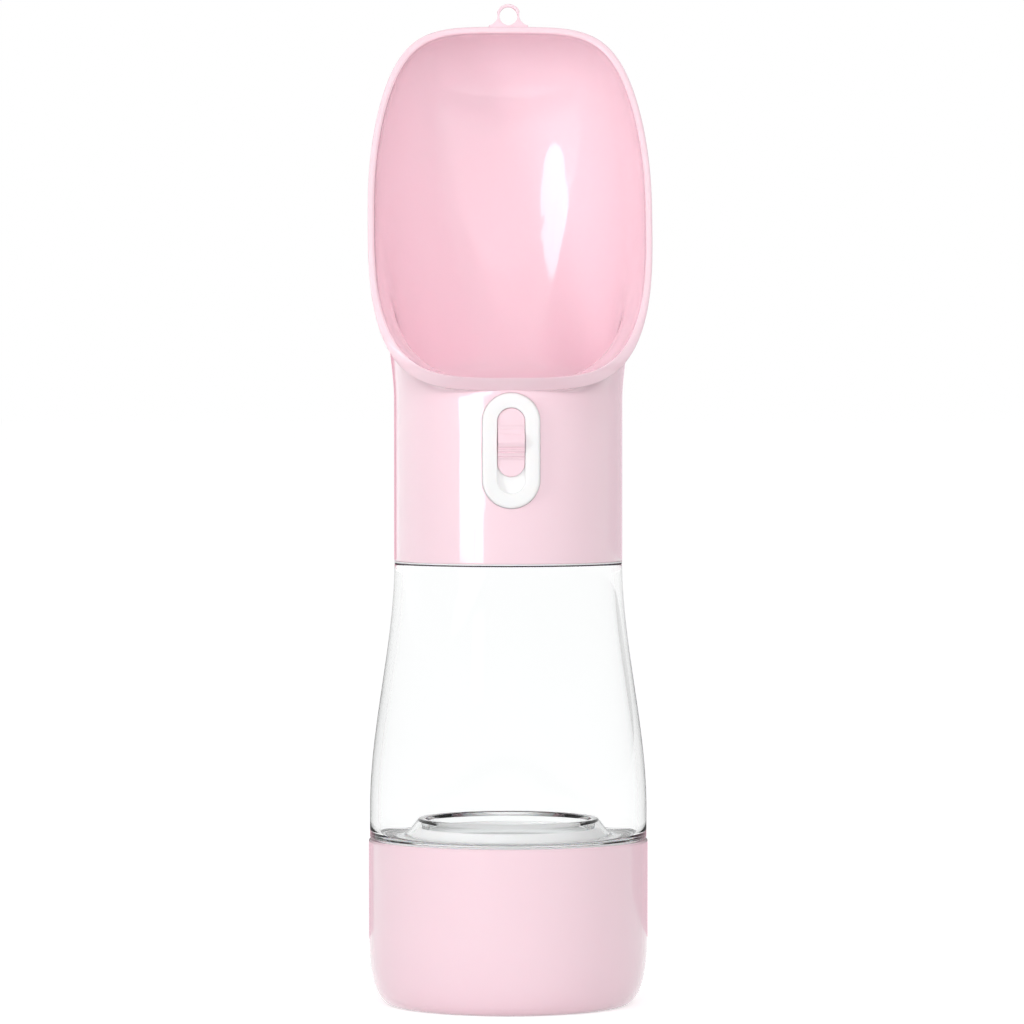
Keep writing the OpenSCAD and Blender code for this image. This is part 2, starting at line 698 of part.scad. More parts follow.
module lock_slider() {
    grooves = [1.4, 2.4, 3.4];
    shank_t = pad_rear - lock_plate_face;
    color(PINK) translate([0, 0, lock_z]) facing() union() {
        difference() {
            union() {
                translate([0, 0, pad_rear]) soft_stadium(lock_r, lock_h, lock_face - pad_rear, 0.4);
                translate([-shank_w / 2, -shank_h / 2, lock_plate_face])
                    cube([shank_w, shank_h, shank_t + 0.5]);
                rotate([0, 90, 0]) linear_extrude(2 * lock_r - 0.6, center = true)
                    polygon([[-lock_face + 0.5, -hump_len / 2], [-lock_face - 0.1, -hump_len / 2],
                        [-lock_face - hump_h + 0.5, -0.9], [-lock_face - hump_h, -0.4],
                        [-lock_face - hump_h, 0.4], [-lock_face - hump_h + 0.5, 0.9],
                        [-lock_face - 0.1, hump_len / 2], [-lock_face + 0.5, hump_len / 2]]);
            }
            for (side = [-1, 1], g = grooves)
                translate([0, side * g, lock_face + hump_h * (1 - g / (hump_len / 2)) + 0.3])
                    cube([2 * lock_r, 0.35, 0.9], center = true);
        }
        for (side = [-1, 1]) translate([0, side * peg_z, lock_plate_face - lock_plate_t - 0.2])
            cylinder(r = peg_r, h = lock_plate_t + 1);
    }
}

module lock_plate() {
    color(WHITE) translate([0, 0, lock_z]) facing()
        translate([0, 0, lock_plate_face - lock_plate_t]) linear_extrude(lock_plate_t) difference() {
            square([lock_plate_w, lock_plate_h], center = true);
            for (side = [-1, 1]) translate([0, side * peg_z]) circle(r = peg_r + 0.02);
        }
}

// ---------- valve stem ----------

plug_z = plate_z - seat_drop - plug_gap - plug_t;
retainer_t = 0.9;

module valve_stem() {
    foot = plug_z - retainer_t - 0.6;
    color(STEEL) translate([0, -valve_fwd, foot]) cylinder(r = stem_r, h = follower_z + 2.4 - foot);
}

module stem_follower() {
    top = 2 * follower_r;
    cut = 3 * follower_r;
    color(WHITE) translate([0, -valve_fwd, 0]) difference() {
        union() {
            translate([0, 0, follower_z]) cylinder(r = collar_r, h = collar_t);
            translate([0, 0, follower_z]) cylinder(r = follower_r, h = collar_t + top + 0.2);
        }
        // Sloping face that the wedge's ramp pushes on
        translate([-cut / 2, 0, ramp_mid_z]) rotate([45, 0, 0])
            translate([0, -cut, 0]) cube([cut, 2 * cut, cut]);
        translate([0, 0, follower_z - 1]) cylinder(r = stem_r + 0.02, h = 3.5);
    }
}

module valve_plug() {
    color(SILICONE) translate([0, -valve_fwd, 0]) difference() {
        translate([0, 0, plug_z]) rotate_extrude()
            polygon([[0, 0], [plug_r - 0.8, 0], [plug_r, 0.8], [plug_r, plug_t - 0.2],
                [plug_r - 0.2, plug_t], [0, plug_t]]);
        translate([0, 0, plug_z - 1]) cylinder(r = stem_r + 0.02, h = plug_t + 2);
    }
}

module plug_retainer() {
    color(STEEL) translate([0, -valve_fwd, 0])
        ring(stem_r + 1.3, stem_r + 0.02, plug_z - retainer_t, retainer_t);
}

food_cup();
cup_gasket();
bottle();
neck_gasket();
head_shell();
valve_body();
chamber_gasket();
chamber_cap();
cap_screws();
air_vent();
stem_o_ring();
seal_washer();
return_spring();
riser_sleeve();
press_button();
wedge_carrier();
lock_slider();
lock_plate();
valve_stem();
stem_follower();
valve_plug();
plug_retainer();
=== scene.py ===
"""Dog travel water bottle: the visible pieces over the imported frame, and the studio round them."""

import math

import bpy
from mathutils import Matrix, Vector


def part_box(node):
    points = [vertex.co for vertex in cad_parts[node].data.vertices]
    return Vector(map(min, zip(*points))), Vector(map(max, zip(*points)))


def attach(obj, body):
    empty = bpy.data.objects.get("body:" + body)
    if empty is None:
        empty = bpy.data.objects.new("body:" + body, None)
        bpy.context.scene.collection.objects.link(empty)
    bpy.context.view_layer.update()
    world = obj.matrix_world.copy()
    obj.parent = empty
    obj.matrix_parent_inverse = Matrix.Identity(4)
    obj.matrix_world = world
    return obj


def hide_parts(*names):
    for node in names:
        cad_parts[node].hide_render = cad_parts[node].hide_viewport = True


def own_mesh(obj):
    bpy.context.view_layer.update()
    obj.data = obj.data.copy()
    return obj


bl_info = {
    "name": "Dog travel water bottle",
    "version": (1, 0, 0),
    "blender": (4, 5, 0),
    "location": "3D View > Sidebar > Dog bottle",
    "description": "Builds a travel water bottle with a drinking trough and a food cup",
    "category": "Add Mesh",
}

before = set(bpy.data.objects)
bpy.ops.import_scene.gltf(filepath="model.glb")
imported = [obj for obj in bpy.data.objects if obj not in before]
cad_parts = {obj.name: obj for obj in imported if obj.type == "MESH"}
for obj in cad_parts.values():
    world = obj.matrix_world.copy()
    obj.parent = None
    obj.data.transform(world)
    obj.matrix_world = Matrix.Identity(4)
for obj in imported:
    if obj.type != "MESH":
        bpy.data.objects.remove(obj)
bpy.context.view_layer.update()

MM = 0.001
CUP_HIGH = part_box("food_cup")[1]


# ---------- settings ----------


class BottleSizes(bpy.types.PropertyGroup):
    """Sizes of the visible pieces, all in scene units."""

    foot_round: bpy.props.FloatProperty(
        name="Foot rounding", description="Rounding of the head's lower edge", default=0.2 * MM,
        unit="LENGTH")
    rim_band: bpy.props.FloatProperty(
        name="Rim width", description="Width of the trough's rim at its sides", default=1.6 * MM,
        unit="LENGTH")
    lip_band: bpy.props.FloatProperty(
        name="Lip height", description="Height of the band under the lip", default=3.0 * MM,
        unit="LENGTH")
    lip_tuck: bpy.props.FloatProperty(
        name="Lip tuck", description="How far the lip's lower edge lies back", default=4.2 * MM,
        unit="LENGTH")
    rim_bulge: bpy.props.FloatProperty(
        name="Rim bulge", description="How far the rim's edge rounds forward", default=0.6 * MM,
        unit="LENGTH")
    lug_hole: bpy.props.FloatProperty(
        name="Lug hole", description="Radius of the lanyard lug's hole", default=2.25 * MM,
        unit="LENGTH")
    bottle_wall: bpy.props.FloatProperty(
        name="Bottle wall", description="Wall thickness of the clear bottle", default=2.0 * MM,
        unit="LENGTH")
    button_edge: bpy.props.FloatProperty(
        name="Button edge", description="Rounding of the button's front edge", default=0.8 * MM,
        unit="LENGTH")
    grip_depth: bpy.props.FloatProperty(
        name="Grip depth", description="Depth of the grip lines on the lock", default=0.3 * MM,
        unit="LENGTH")


class BottleColours(bpy.types.PropertyGroup):
    """Colours of the finishes."""

    pink: bpy.props.FloatVectorProperty(
        name="Pink", description="Colour of the head, cup and lock", subtype="COLOR", size=3,
        min=0, max=1, default=(0.985, 0.725, 0.80))
    white: bpy.props.FloatVectorProperty(
        name="White", description="Colour of the button and valve", subtype="COLOR", size=3,
        min=0, max=1, default=(0.94, 0.94, 0.94))
    clear: bpy.props.FloatVectorProperty(
        name="Clear", description="Tint of the clear bottle", subtype="COLOR", size=3,
        min=0, max=1, default=(0.985, 0.99, 0.99))
    silicone: bpy.props.FloatVectorProperty(
        name="Silicone", description="Colour of the gaskets", subtype="COLOR", size=3,
        min=0, max=1, default=(0.80, 0.81, 0.82))
    # Painted shade: this near-black colour stands in for the shadow in the gap between the head and
    # the bottle
    painted_joint_shade: bpy.props.FloatVectorProperty(
        name="Painted joint shade", description="Colour of the dark line in the neck's joint",
        subtype="COLOR", size=3, min=0, max=1, default=(0.05, 0.035, 0.05))
    steel: bpy.props.FloatVectorProperty(
        name="Steel", description="Colour of the screws and spring", subtype="COLOR", size=3,
        min=0, max=1, default=(0.60, 0.61, 0.63))


class StudioSettings(bpy.types.PropertyGroup):
    """Camera, lamps and background."""

    camera_distance: bpy.props.FloatProperty(
        name="Camera distance", description="Distance from the bottle's axis", default=1.381,
        unit="LENGTH")
    camera_height: bpy.props.FloatProperty(
        name="Camera height", description="Height of the camera above the floor", default=0.1556,
        unit="LENGTH")
    camera_turn: bpy.props.FloatProperty(
        name="Camera turn", description="How far the camera stands to the left of the front",
        default=math.radians(1.5), unit="ROTATION")
    lens: bpy.props.FloatProperty(
        name="Lens", description="Focal length in millimetres", default=194.2)
    surround: bpy.props.FloatProperty(
        name="Surround", description="Strength of the soft light from all round", default=0.58)
    key_power: bpy.props.FloatProperty(
        name="Key power", description="Power of the softbox at the left", default=3.6)
    front_power: bpy.props.FloatProperty(
        name="Front power", description="Power of the large softbox in front", default=9.2)
    spot_power: bpy.props.FloatProperty(
        name="Spot power", description="Power of the narrow spot on the trough", default=10.0)
    card_glow: bpy.props.FloatProperty(
        name="Card glow", description="Brightness of the cards that the gloss mirrors", default=6.5)
    right_level: bpy.props.FloatProperty(
        name="Right level", description="Brightness that gloss and glass see at the right",
        default=0.72)
    back_level: bpy.props.FloatProperty(
        name="Back level", description="Brightness of the coloured cards behind the bottle",
        default=1.0)
    floor_tone: bpy.props.FloatProperty(
        name="Floor tone", description="Share of the light that the floor throws back", default=0.8)


def sizes():
    return bpy.context.scene.dog_bottle_sizes


def colours():
    return bpy.context.scene.dog_bottle_colours


def studio():
    return bpy.context.scene.dog_bottle_studio


# ---------- mesh helpers ----------


def select_nothing():
    """Leave edit mode and deselect all."""
    if bpy.context.object and bpy.context.object.mode != "OBJECT":
        bpy.ops.object.mode_set(mode="OBJECT")
    bpy.ops.object.select_all(action="DESELECT")


def only(obj):
    """Select this object alone and make it active."""
    select_nothing()
    obj.select_set(True)
    bpy.context.view_layer.objects.active = obj


def add(name, data):
    """New object in the scene, for a mesh, lamp or camera."""
    obj = bpy.data.objects.new(name, data)
    bpy.context.scene.collection.objects.link(obj)
    return obj


def mesh_object(name, points, edges=(), faces=()):
    mesh = bpy.data.meshes.new(name)
    mesh.from_pydata([Vector(p) * MM for p in points], list(edges), list(faces))
    obj = add(name, mesh)
    only(obj)
    return obj


def in_edit(obj):
    only(obj)
    bpy.ops.object.mode_set(mode="EDIT")
    bpy.ops.mesh.select_mode(type="VERT")
    bpy.ops.mesh.select_all(action="SELECT")


def select_points(obj, test, kind="VERT"):
    """Select vertices, or the faces or edges whose centre passes the test, in edit mode."""
    bpy.ops.mesh.select_mode(type="VERT")
    bpy.ops.mesh.select_all(action="DESELECT")
    bpy.ops.mesh.select_mode(type=kind)
    bpy.ops.object.mode_set(mode="OBJECT")
    mesh = obj.data
    if kind == "VERT":
        for v in mesh.vertices:
            v.select = test(v.co)
    elif kind == "FACE":
        for f in mesh.polygons:
            f.select = test(f.center)
    else:
        for e in mesh.edges:
            a, b = (mesh.vertices[i].co for i in e.vertices)
            e.select = test(a) and test(b)
    bpy.ops.object.mode_set(mode="EDIT")


def close_edit():
    """Turn all faces outwards and leave edit mode."""
    bpy.ops.mesh.select_all(action="SELECT")
    bpy.ops.mesh.normals_make_consistent(inside=False)
    bpy.ops.object.mode_set(mode="OBJECT")


def tidy(obj):
    """Merge doubles and turn all faces outwards."""
    in_edit(obj)
    bpy.ops.mesh.remove_doubles(threshold=1e-7)
    close_edit()


def apply_modifiers(obj):
    only(obj)
    for m in list(obj.modifiers):
        bpy.ops.object.modifier_apply(modifier=m.name)


def place(obj):
    """Put the object's place into its mesh."""
    only(obj)
    bpy.ops.object.transform_apply(location=True, rotation=True, scale=True)


def smooth(obj, angle=35):
    only(obj)
    bpy.ops.object.shade_smooth_by_angle(angle=math.radians(angle))


def combine(obj, other, operation="DIFFERENCE"):
    """Cut one closed solid with another, or weld them."""
    place(other)
    m = obj.modifiers.new(operation.lower(), "BOOLEAN")
    m.operation, m.object, m.solver = operation, other, "EXACT"
    apply_modifiers(obj)
    bpy.data.objects.remove(other)


def join(first, *others):
    only(first)
    for o in others:
        o.select_set(True)
    bpy.ops.object.join()
    return first


def drum(radius, low, high, at=(0, 0), sides=192):
    """Upright cylinder between two heights, in millimetres."""
    select_nothing()
    bpy.ops.mesh.primitive_cylinder_add(
        vertices=sides, radius=radius * MM, depth=(high - low) * MM,
        location=(at[0] * MM, at[1] * MM, (low + high) / 2 * MM))
    return bpy.context.object


def block(low, high):
    """Box between two corners, in millimetres."""
    select_nothing()
    bpy.ops.mesh.primitive_cube_add(
        size=MM, location=[(a + b) / 2 * MM for a, b in zip(low, high)],
        scale=[b - a for a, b in zip(low, high)])
    return bpy.context.object


def arc_corner(p, a, b, r):
    """Points of a fillet of radius r at corner p of a flat outline through a, p and b."""
    steps = 5
    u, v = (a - p).normalized(), (b - p).normalized()
    half = math.acos(max(-1, min(1, u.dot(v)))) / 2
    reach = r / math.tan(half)
    middle = p + (u + v).normalized() * (r / math.sin(half))
    start, end = p + u * reach - middle, p + v * reach - middle
    turn = start.angle_signed(end)
    found = []
    for k in range(steps + 1):
        t = -turn * k / steps
        found.append(middle + Vector((start.x * math.cos(t) - start.y * math.sin(t),
                                      start.x * math.sin(t) + start.y * math.cos(t))))
    return found


def soft_outline(corners):
    """Outline from (radius, height, fillet) corners, with each fillet drawn as an arc."""
    points = []
    for k, corner in enumerate(corners):
        p = Vector(corner[:2])
        r = corner[2] if len(corner) > 2 else 0
        if r and 0 < k < len(corners) - 1:
            points += arc_corner(p, Vector(corners[k - 1][:2]), Vector(corners[k + 1][:2]), r)
        else:
            points.append(p)
    return points


def turned(name, outline):
    """Spin an outline of radius and height round the bottle's axis."""
    obj = mesh_object(name, [(p[0], 0, p[1]) for p in outline],
                      [(k, k + 1) for k in range(len(outline) - 1)])
    in_edit(obj)
    bpy.ops.mesh.spin(steps=192, angle=2 * math.pi, center=(0, 0, 0), axis=(0, 0, 1))
    bpy.ops.object.mode_set(mode="OBJECT")
    tidy(obj)
    return obj


def finish_piece(obj, body, material, replaces=()):
    place(obj)
    obj.data.materials.clear()
    obj.data.materials.append(material)
    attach(obj, body)
    if replaces:
        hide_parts(*replaces)


# ---------- finishes ----------


def put(node, values):
    """Set a node's inputs, or link those that are given an output; returns its own outputs."""
    for key, value in values.items():
        if isinstance(value, bpy.types.NodeSocket):
            node.id_data.links.new(value, node.inputs[key])
        else:
            node.inputs[key].default_value = value
    return node.outputs


def add_node(nodes, kind, values):
    """New node with its inputs set or linked; returns its outputs."""
    return put(nodes.new(kind), values)


def empty_tree(owner):
    """Clear the nodes of a material or world and return them."""
    owner.use_nodes = True
    owner.node_tree.nodes.clear()
    return owner.node_tree.nodes


def noise(nodes, where, scale, detail, rough=0.5):
    return add_node(nodes, "ShaderNodeTexNoise", {
        "Vector": where, "Scale": scale, "Detail": detail, "Roughness": rough})["Fac"]


def spread(nodes, value, low, high):
    """Map a noise onto a narrow range."""
    return add_node(nodes, "ShaderNodeMapRange", {
        "Value": value, "From Min": 0.3, "From Max": 0.7, "To Min": low, "To Max": high})["Result"]


def tint(nodes, value, colour, low, high):
    """Colour that wanders a little, from low to high times its own value."""
    mix = nodes.new("ShaderNodeMix")
    mix.data_type = "RGBA"
    return put(mix, {"Factor": value, "A": [c * low for c in colour] + [1],
                     "B": [min(1, c * high) for c in colour] + [1]})["Result"]


def bump(nodes, value, strength, distance):
    return add_node(nodes, "ShaderNodeBump", {
        "Height": value, "Strength": strength, "Distance": distance})["Normal"]


def finish(paint):
    """Give the painted material, which is made the first time that it is asked for."""
    def material():
        made = bpy.data.materials.get(paint.__name__)
        if made is None:
            made = bpy.data.materials.new(paint.__name__)
            made.use_nodes = True
            nodes = made.node_tree.nodes
            where = nodes.new("ShaderNodeTexCoord").outputs["Object"]
            put(nodes["Principled BSDF"], paint(nodes, where))
        return made
    return material


@finish
def gloss_pink(nodes, where):
    """Polished pink moulding: a faint wander of tint and an even clear gloss."""
    cloud, grain = noise(nodes, where, 35, 3), noise(nodes, where, 900, 2)
    return {
        "Base Color": tint(nodes, cloud, colours().pink, 0.992, 1.008),
        "Roughness": spread(nodes, grain, 0.20, 0.26),
        "Normal": bump(nodes, noise(nodes, where, 160, 1), 0.02, 0.0002),
        "IOR": 1.47, "Specular IOR Level": 0.12, "Coat Weight": 1.0, "Coat Roughness": 0.03,
        "Subsurface Weight": 0.08, "Subsurface Radius": (1.0, 0.5, 0.6),
        "Subsurface Scale": 0.002}


@finish
def satin_white(nodes, where):
    """White moulding with a fine satin grain."""
    cloud, grain = noise(nodes, where, 60, 3), noise(nodes, where, 2500, 2)
    return {
        "Base Color": tint(nodes, cloud, colours().white, 0.99, 1.01),
        "Roughness": spread(nodes, grain, 0.30, 0.42),
        "Normal": bump(nodes, grain, 0.05, 0.00005),
        "IOR": 1.47, "Subsurface Weight": 0.05, "Subsurface Scale": 0.002}


@finish
def clear_wall(nodes, where):
    """Clear rigid plastic with a hardly seen ripple."""
    cloud = noise(nodes, where, 20, 2)
    return {
        "Base Color": tint(nodes, cloud, colours().clear, 0.998, 1.002),
        "Roughness": spread(nodes, cloud, 0.0, 0.012),
        "IOR": 1.22, "Transmission Weight": 1.0}


def rubber(nodes, where, colour):
    """Matt rubber that lets a little light in."""
    cloud, grain = noise(nodes, where, 120, 3), noise(nodes, where, 3000, 2)
    return {
        "Base Color": tint(nodes, cloud, colour, 0.97, 1.02),
        "Roughness": spread(nodes, grain, 0.5, 0.65),
        "Normal": bump(nodes, grain, 0.1, 0.00005),
        "Subsurface Weight": 0.2, "Subsurface Scale": 0.002}


@finish
def soft_silicone(nodes, where):
    """Pale translucent gaskets."""
    return rubber(nodes, where, colours().silicone)


@finish
def painted_shade_rubber(nodes, where):
    """Near-black rubber for the ring that is painted shade in the neck's joint."""
    return rubber(nodes, where, colours().painted_joint_shade)


@finish
def drawn_steel(nodes, where):
    """Bright steel with fine drawing lines round its axis."""
    drawn = add_node(nodes, "ShaderNodeMapping", {"Vector": where, "Scale": (1, 1, 12)})["Vector"]
    lines = noise(nodes, drawn, 700, 3, 0.6)
    return {
        "Base Color": tint(nodes, lines, colours().steel, 0.92, 1.06),
        "Roughness": spread(nodes, lines, 0.22, 0.36),
        "Normal": bump(nodes, lines, 0.15, 0.00004),
        "Metallic": 1.0}


# ---------- head with its trough ----------

NECK_R = 28.5
HEAD_Z = 110.5
FOOT_Z = 110.9
SHOULDER_Z = 110.2
LIP_Z = 153.6
BOWL_MID = 197.0
BOWL_TOP = 244.0
BOWL_W = 70.2
LIP_REACH = 32.8
TOP_REACH = 3.0
BACK_BOW = 30.0
OUTLET_BACK = 9.0
DRAIN_Z = 152.6
FLOOR_SLOPE = 0.1


def signed_power(value, power):
    return math.copysign(abs(value) ** power, value)


def rim_forward(z):
    """Y of the rim's edge at height z."""
    t = max(0.0, (BOWL_TOP - z) / (BOWL_TOP - LIP_Z))
    return -TOP_REACH - (LIP_REACH - TOP_REACH) * t ** 1.15


def rim_point(u, inset=0.0, lip_inset=0.0):
    """Rim outline: u is -90 degrees at the lip, 0 at the right side and 90 at the top."""
    c, s = math.cos(u), math.sin(u)
    n = 2.5 + 1.2 * s * s if s >= 0 else 3.2 + 0.6 * s * s
    h = BOWL_TOP - BOWL_MID - inset if s >= 0 else BOWL_MID - LIP_Z - lip_inset
    z = BOWL_MID + h * signed_power(s, 2 / n)
    return Vector(((BOWL_W / 2 - inset) * signed_power(c, 2 / n), rim_forward(z), z))


def even_rim_angles(count):
    """Angles that step round the rim at an even distance, starting at the lip."""
    # Fine steps, because the outline runs fast near its flat sides
    fine = 7200
    angles = [-math.pi / 2 + 2 * math.pi * k / fine for k in range(fine + 1)]
    points = [rim_point(a) for a in angles]
    length = [0.0]
    for a, b in zip(points, points[1:]):
        length.append(length[-1] + (b - a).length)
    found, k = [], 0
    for i in range(count):
        goal = length[-1] * i / count
        while length[k + 1] < goal:
            k += 1
        share = (goal - length[k]) / max(1e-9, length[k + 1] - length[k])
        found.append(angles[k] + (angles[k + 1] - angles[k]) * share)
    return found


def rim_across(u, b):
    """Point of the rim's band, from its outer edge at b = 0 to its inner edge at b = 1."""
    point = rim_point(u, sizes().rim_band / MM * b, sizes().lip_band / MM * b)
    tuck = sizes().lip_tuck / MM * max(0.0, -math.sin(u)) ** 3
    return point + Vector((0, tuck * (1 - b) - 0.3 * tuck * b, 0))


def curve_between(p0, p1, p2, p3, t):
    q = 1 - t
    return p0 * q ** 3 + p1 * 3 * q * q * t + p2 * 3 * q * t * t + p3 * t ** 3


def on_neck(a, r, z):
    return Vector((r * math.cos(a), r * math.sin(a), z))


def upness(a):
    """0 at the lip and 1 at the top."""
    return (math.sin(a) + 1) / 2


def corner(u):
    """0 at the lip and the top, and largest between the lip and the sides."""
    return math.cos(u) ** 2 * (1 - upness(u))


def trough_floor(y):
    return DRAIN_Z + FLOOR_SLOPE * abs(y - OUTLET_BACK)


def floor_edge(a):
    r = NECK_R - 2.2
    return on_neck(a, r, trough_floor(r * math.sin(a)) + 0.2 + 8 * upness(a))


def outer_skin(a, u, t):
    low = on_neck(a, NECK_R, LIP_Z - 2.6 + 2.4 * (1 - upness(a)) ** 4)
    edge = rim_across(u, 0)
    back = 9.5 * corner(u) + BACK_BOW * upness(u)
    return curve_between(low, low + Vector((0, 0, 0.24 * (edge.z - low.z))),
                         edge + Vector((0, back, 0)), edge, t)


def rim_edge(u, t):
    bulge = sizes().rim_bulge / MM * (1 - 0.75 * max(0.0, -math.sin(u)) ** 3)
    return (rim_across(u, (1 - math.cos(math.pi * t)) / 2)
            - Vector((0, bulge * math.sin(math.pi * t), 0)))


def inner_skin(a, u, t):
    low = floor_edge(a)
    edge = rim_across(u, 1)
    back = 2 + 6 * corner(u) + (BACK_BOW - 4) * upness(u)
    return curve_between(edge, edge + Vector((0, back, 0)),
                         low + Vector((0, 0, 0.3 * (edge.z - low.z))), low, t)


def trough_bottom(a, t):
    low, n = floor_edge(a), 2.6
    angle = math.pi / 2 * t
    across, down = max(0.0, math.cos(angle)) ** (2 / n), math.sin(angle) ** (2 / n)
    y = OUTLET_BACK + (low.y - OUTLET_BACK) * across
    return Vector((low.x * across, y, trough_floor(y) + (low.z - trough_floor(low.y)) * (1 - down)))


def head_rows():
    """Each row of the head's skin as a function of the neck angle and the rim angle."""
    foot = sizes().foot_round / MM
    rows = [lambda a, u: on_neck(a, NECK_R - foot, FOOT_Z)]
    for k in range(1, 6):
        turn = math.pi / 2 * k / 5
        rows.append(lambda a, u, turn=turn: on_neck(
            a, NECK_R - foot * (1 - math.sin(turn)), FOOT_Z + foot * (1 - math.cos(turn))))
    for k in [0.1] + list(range(1, 26)):
        rows.append(lambda a, u, t=k / 26: on_neck(
            a, NECK_R, FOOT_Z + foot + t * (outer_skin(a, u, 0).z - FOOT_Z - foot)))
    for k in range(41):
        rows.append(lambda a, u, t=k / 40: outer_skin(a, u, t))
    for k in range(1, 13):
        rows.append(lambda a, u, t=k / 12: rim_edge(u, t))
    for k in range(1, 41):
        rows.append(lambda a, u, t=k / 40: inner_skin(a, u, t))
    for k in range(1, 21):
        rows.append(lambda a, u, t=k / 20: trough_bottom(a, t))
    return rows


def wrapped_skin(name, rows, around):
    """Wrap a flat grid round the head, one grid row for each row of the skin."""
    select_nothing()
    bpy.ops.mesh.primitive_grid_add(x_subdivisions=around, y_subdivisions=len(rows) - 1, size=1)
    obj = bpy.context.object
    obj.name = obj.data.name = name
    rim = even_rim_angles(around)
    neck = [-math.pi / 2 + 2 * math.pi * k / around for k in range(around)]
    made = {}
    for v in obj.data.vertices:
        i = round((v.co.x + 0.5) * around) % around
        j = round((v.co.y + 0.5) * (len(rows) - 1))
        if (i, j) not in made:
            made[i, j] = rows[j](neck[i], rim[i]) * MM
        v.co = made[i, j]
    in_edit(obj)
    bpy.ops.mesh.remove_doubles(threshold=1e-6)
    select_points(obj, lambda p: p.z < (FOOT_Z + 0.001) * MM)
    bpy.ops.mesh.edge_face_add()
    bpy.ops.object.mode_set(mode="OBJECT")
    tidy(obj)
    return obj


def lanyard_lug():
    """Flat ring on flared feet, standing on the trough's top edge."""
    hole, ring, thick = sizes().lug_hole / MM, 0.75, 2.4
    r, rise, flare, foot_w, drop = hole + ring, 2.75, 2.6, 9.8, 1.2
    middle_x, middle_z = r + flare - 0.35, 0.3
    right = []
    # Ring from its top down to where the flare takes over, then the flare out to the foot
    for k in range(25):
        a = math.radians(90 - 95 * k / 24)
        right.append((r * math.cos(a), r * math.sin(a)))
    right = [p for p in right if math.dist(p, (middle_x, middle_z)) > flare]
    start = math.atan2(right[-1][1] - middle_z, right[-1][0] - middle_x)
    start = start if start > 0 else start + 2 * math.pi
    end = 2 * math.pi - math.acos((foot_w / 2 - middle_x) / flare)
    for k in range(1, 15):
        a = start + (end - start) * k / 14
        right.append((middle_x + flare * math.cos(a), middle_z + flare * math.sin(a)))
    right.append((foot_w / 2, -rise - drop))
    outline = right + [(-x, z) for x, z in reversed(right) if abs(x) > 1e-6]
    centre_z = BOWL_TOP + rise
    front = -TOP_REACH + 1.8 - thick / 2
    obj = mesh_object("lanyard_lug", [(x, front, centre_z + z) for x, z in outline], (),
                      [tuple(range(len(outline)))])
    in_edit(obj)
    bpy.ops.mesh.extrude_region_move(TRANSFORM_OT_translate={"value": (0, thick * MM, 0)})
    close_edit()
    bore = drum(hole, -4, 4, sides=64)
    bore.rotation_euler = (math.pi / 2, 0, 0)
    bore.location = (0, (front + thick / 2) * MM, centre_z * MM)
    combine(obj, bore)
    soft = obj.modifiers.new("soft edge", "BEVEL")
    soft.width, soft.segments, soft.limit_method = 0.4 * MM, 3, "ANGLE"
    soft.angle_limit = math.radians(50)
    apply_modifiers(obj)
    return obj


def pill(name, radius, height, low, high, at_z):
    """Upright slab with two round ends that faces the front; low and high are measured forward."""
    select_nothing()
    bpy.ops.mesh.primitive_circle_add(vertices=96, radius=radius * MM, fill_type="NGON")
    obj = bpy.context.object
    obj.name = obj.data.name = name
    half = (height / 2 - radius) * MM
    in_edit(obj)
    select_points(obj, lambda p: p.y > 1e-6)
    bpy.ops.transform.translate(value=(0, half, 0))
    select_points(obj, lambda p: p.y < -1e-6)
    bpy.ops.transform.translate(value=(0, -half, 0))
    bpy.ops.mesh.select_all(action="SELECT")
    bpy.ops.transform.translate(value=(0, 0, low * MM))
    bpy.ops.mesh.extrude_region_move(TRANSFORM_OT_translate={"value": (0, 0, (high - low) * MM)})
    close_edit()
    obj.matrix_world = Matrix.Translation((0, 0, at_z * MM)) @ FACING
    return obj


# Turns a shape drawn flat so that its height points to the front
FACING = Matrix(((1, 0, 0, 0), (0, 0, -1, 0), (0, 1, 0, 0), (0, 0, 0, 1)))
BUTTON_Z = 138.8
BUTTON_W = 14.2
BUTTON_H = 28.4
BUTTON_FACE = 29.6
FLANGE_FACE = 24.2
FLANGE_REAR = 22.6
WINDOW_GAP = 0.08
DRAIN_R = 2.6
SLEEVE_SEAT_R = 3.6
# Bores of the neck for the valve body and its snap bead: radius, low and high
NECK_BORES = ((26.9, HEAD_Z - 1, 122.9), (27.25, 111.8, 113.4), (25.9, 121.8, 150.2))


class BuildHead(bpy.types.Operator):
    """Head shell: neck, trough with its rolled rim, lanyard lug and the button's window"""

    bl_idname = "dog_bottle.build_head"
    bl_label = "Head with trough"

    def execute(self, context):
        head = wrapped_skin("trough_head", head_rows(), 240)
        for radius, low, high in NECK_BORES:
            combine(head, drum(radius, low, high))
        # Room above the bores for the upper end of the button's flange
        room = drum(25.8, 122.8, LIP_Z)
        keep = block((-9.2, -27, 148.2), (9.2, -FLANGE_REAR + 2.9, 153.25))
        combine(room, keep, "INTERSECT")
        combine(head, room)
        combine(head, drum(SLEEVE_SEAT_R, 146.2, 151.2, (0, OUTLET_BACK), 64), "UNION")
        combine(head, lanyard_lug(), "UNION")
        combine(head, pill("window", BUTTON_W / 2 + WINDOW_GAP, BUTTON_H + 2 * WINDOW_GAP,
                           FLANGE_REAR, 32, BUTTON_Z))
        combine(head, drum(DRAIN_R, 145.2, 155.0, (0, OUTLET_BACK), 64))
        smooth(head, 32)
        finish_piece(head, "head", gloss_pink(), ["head_shell"])
        return {"FINISHED"}


def neck_band(name, inner, outer, low, high, start, fillet):
    """Thin ring round the neck with soft outer corners."""
    band = turned(name, soft_outline([
        (inner, start), (inner, high), (outer, high, fillet), (outer, low, fillet),
        (inner, low), (inner, start)]))
    smooth(band, 40)
    return band


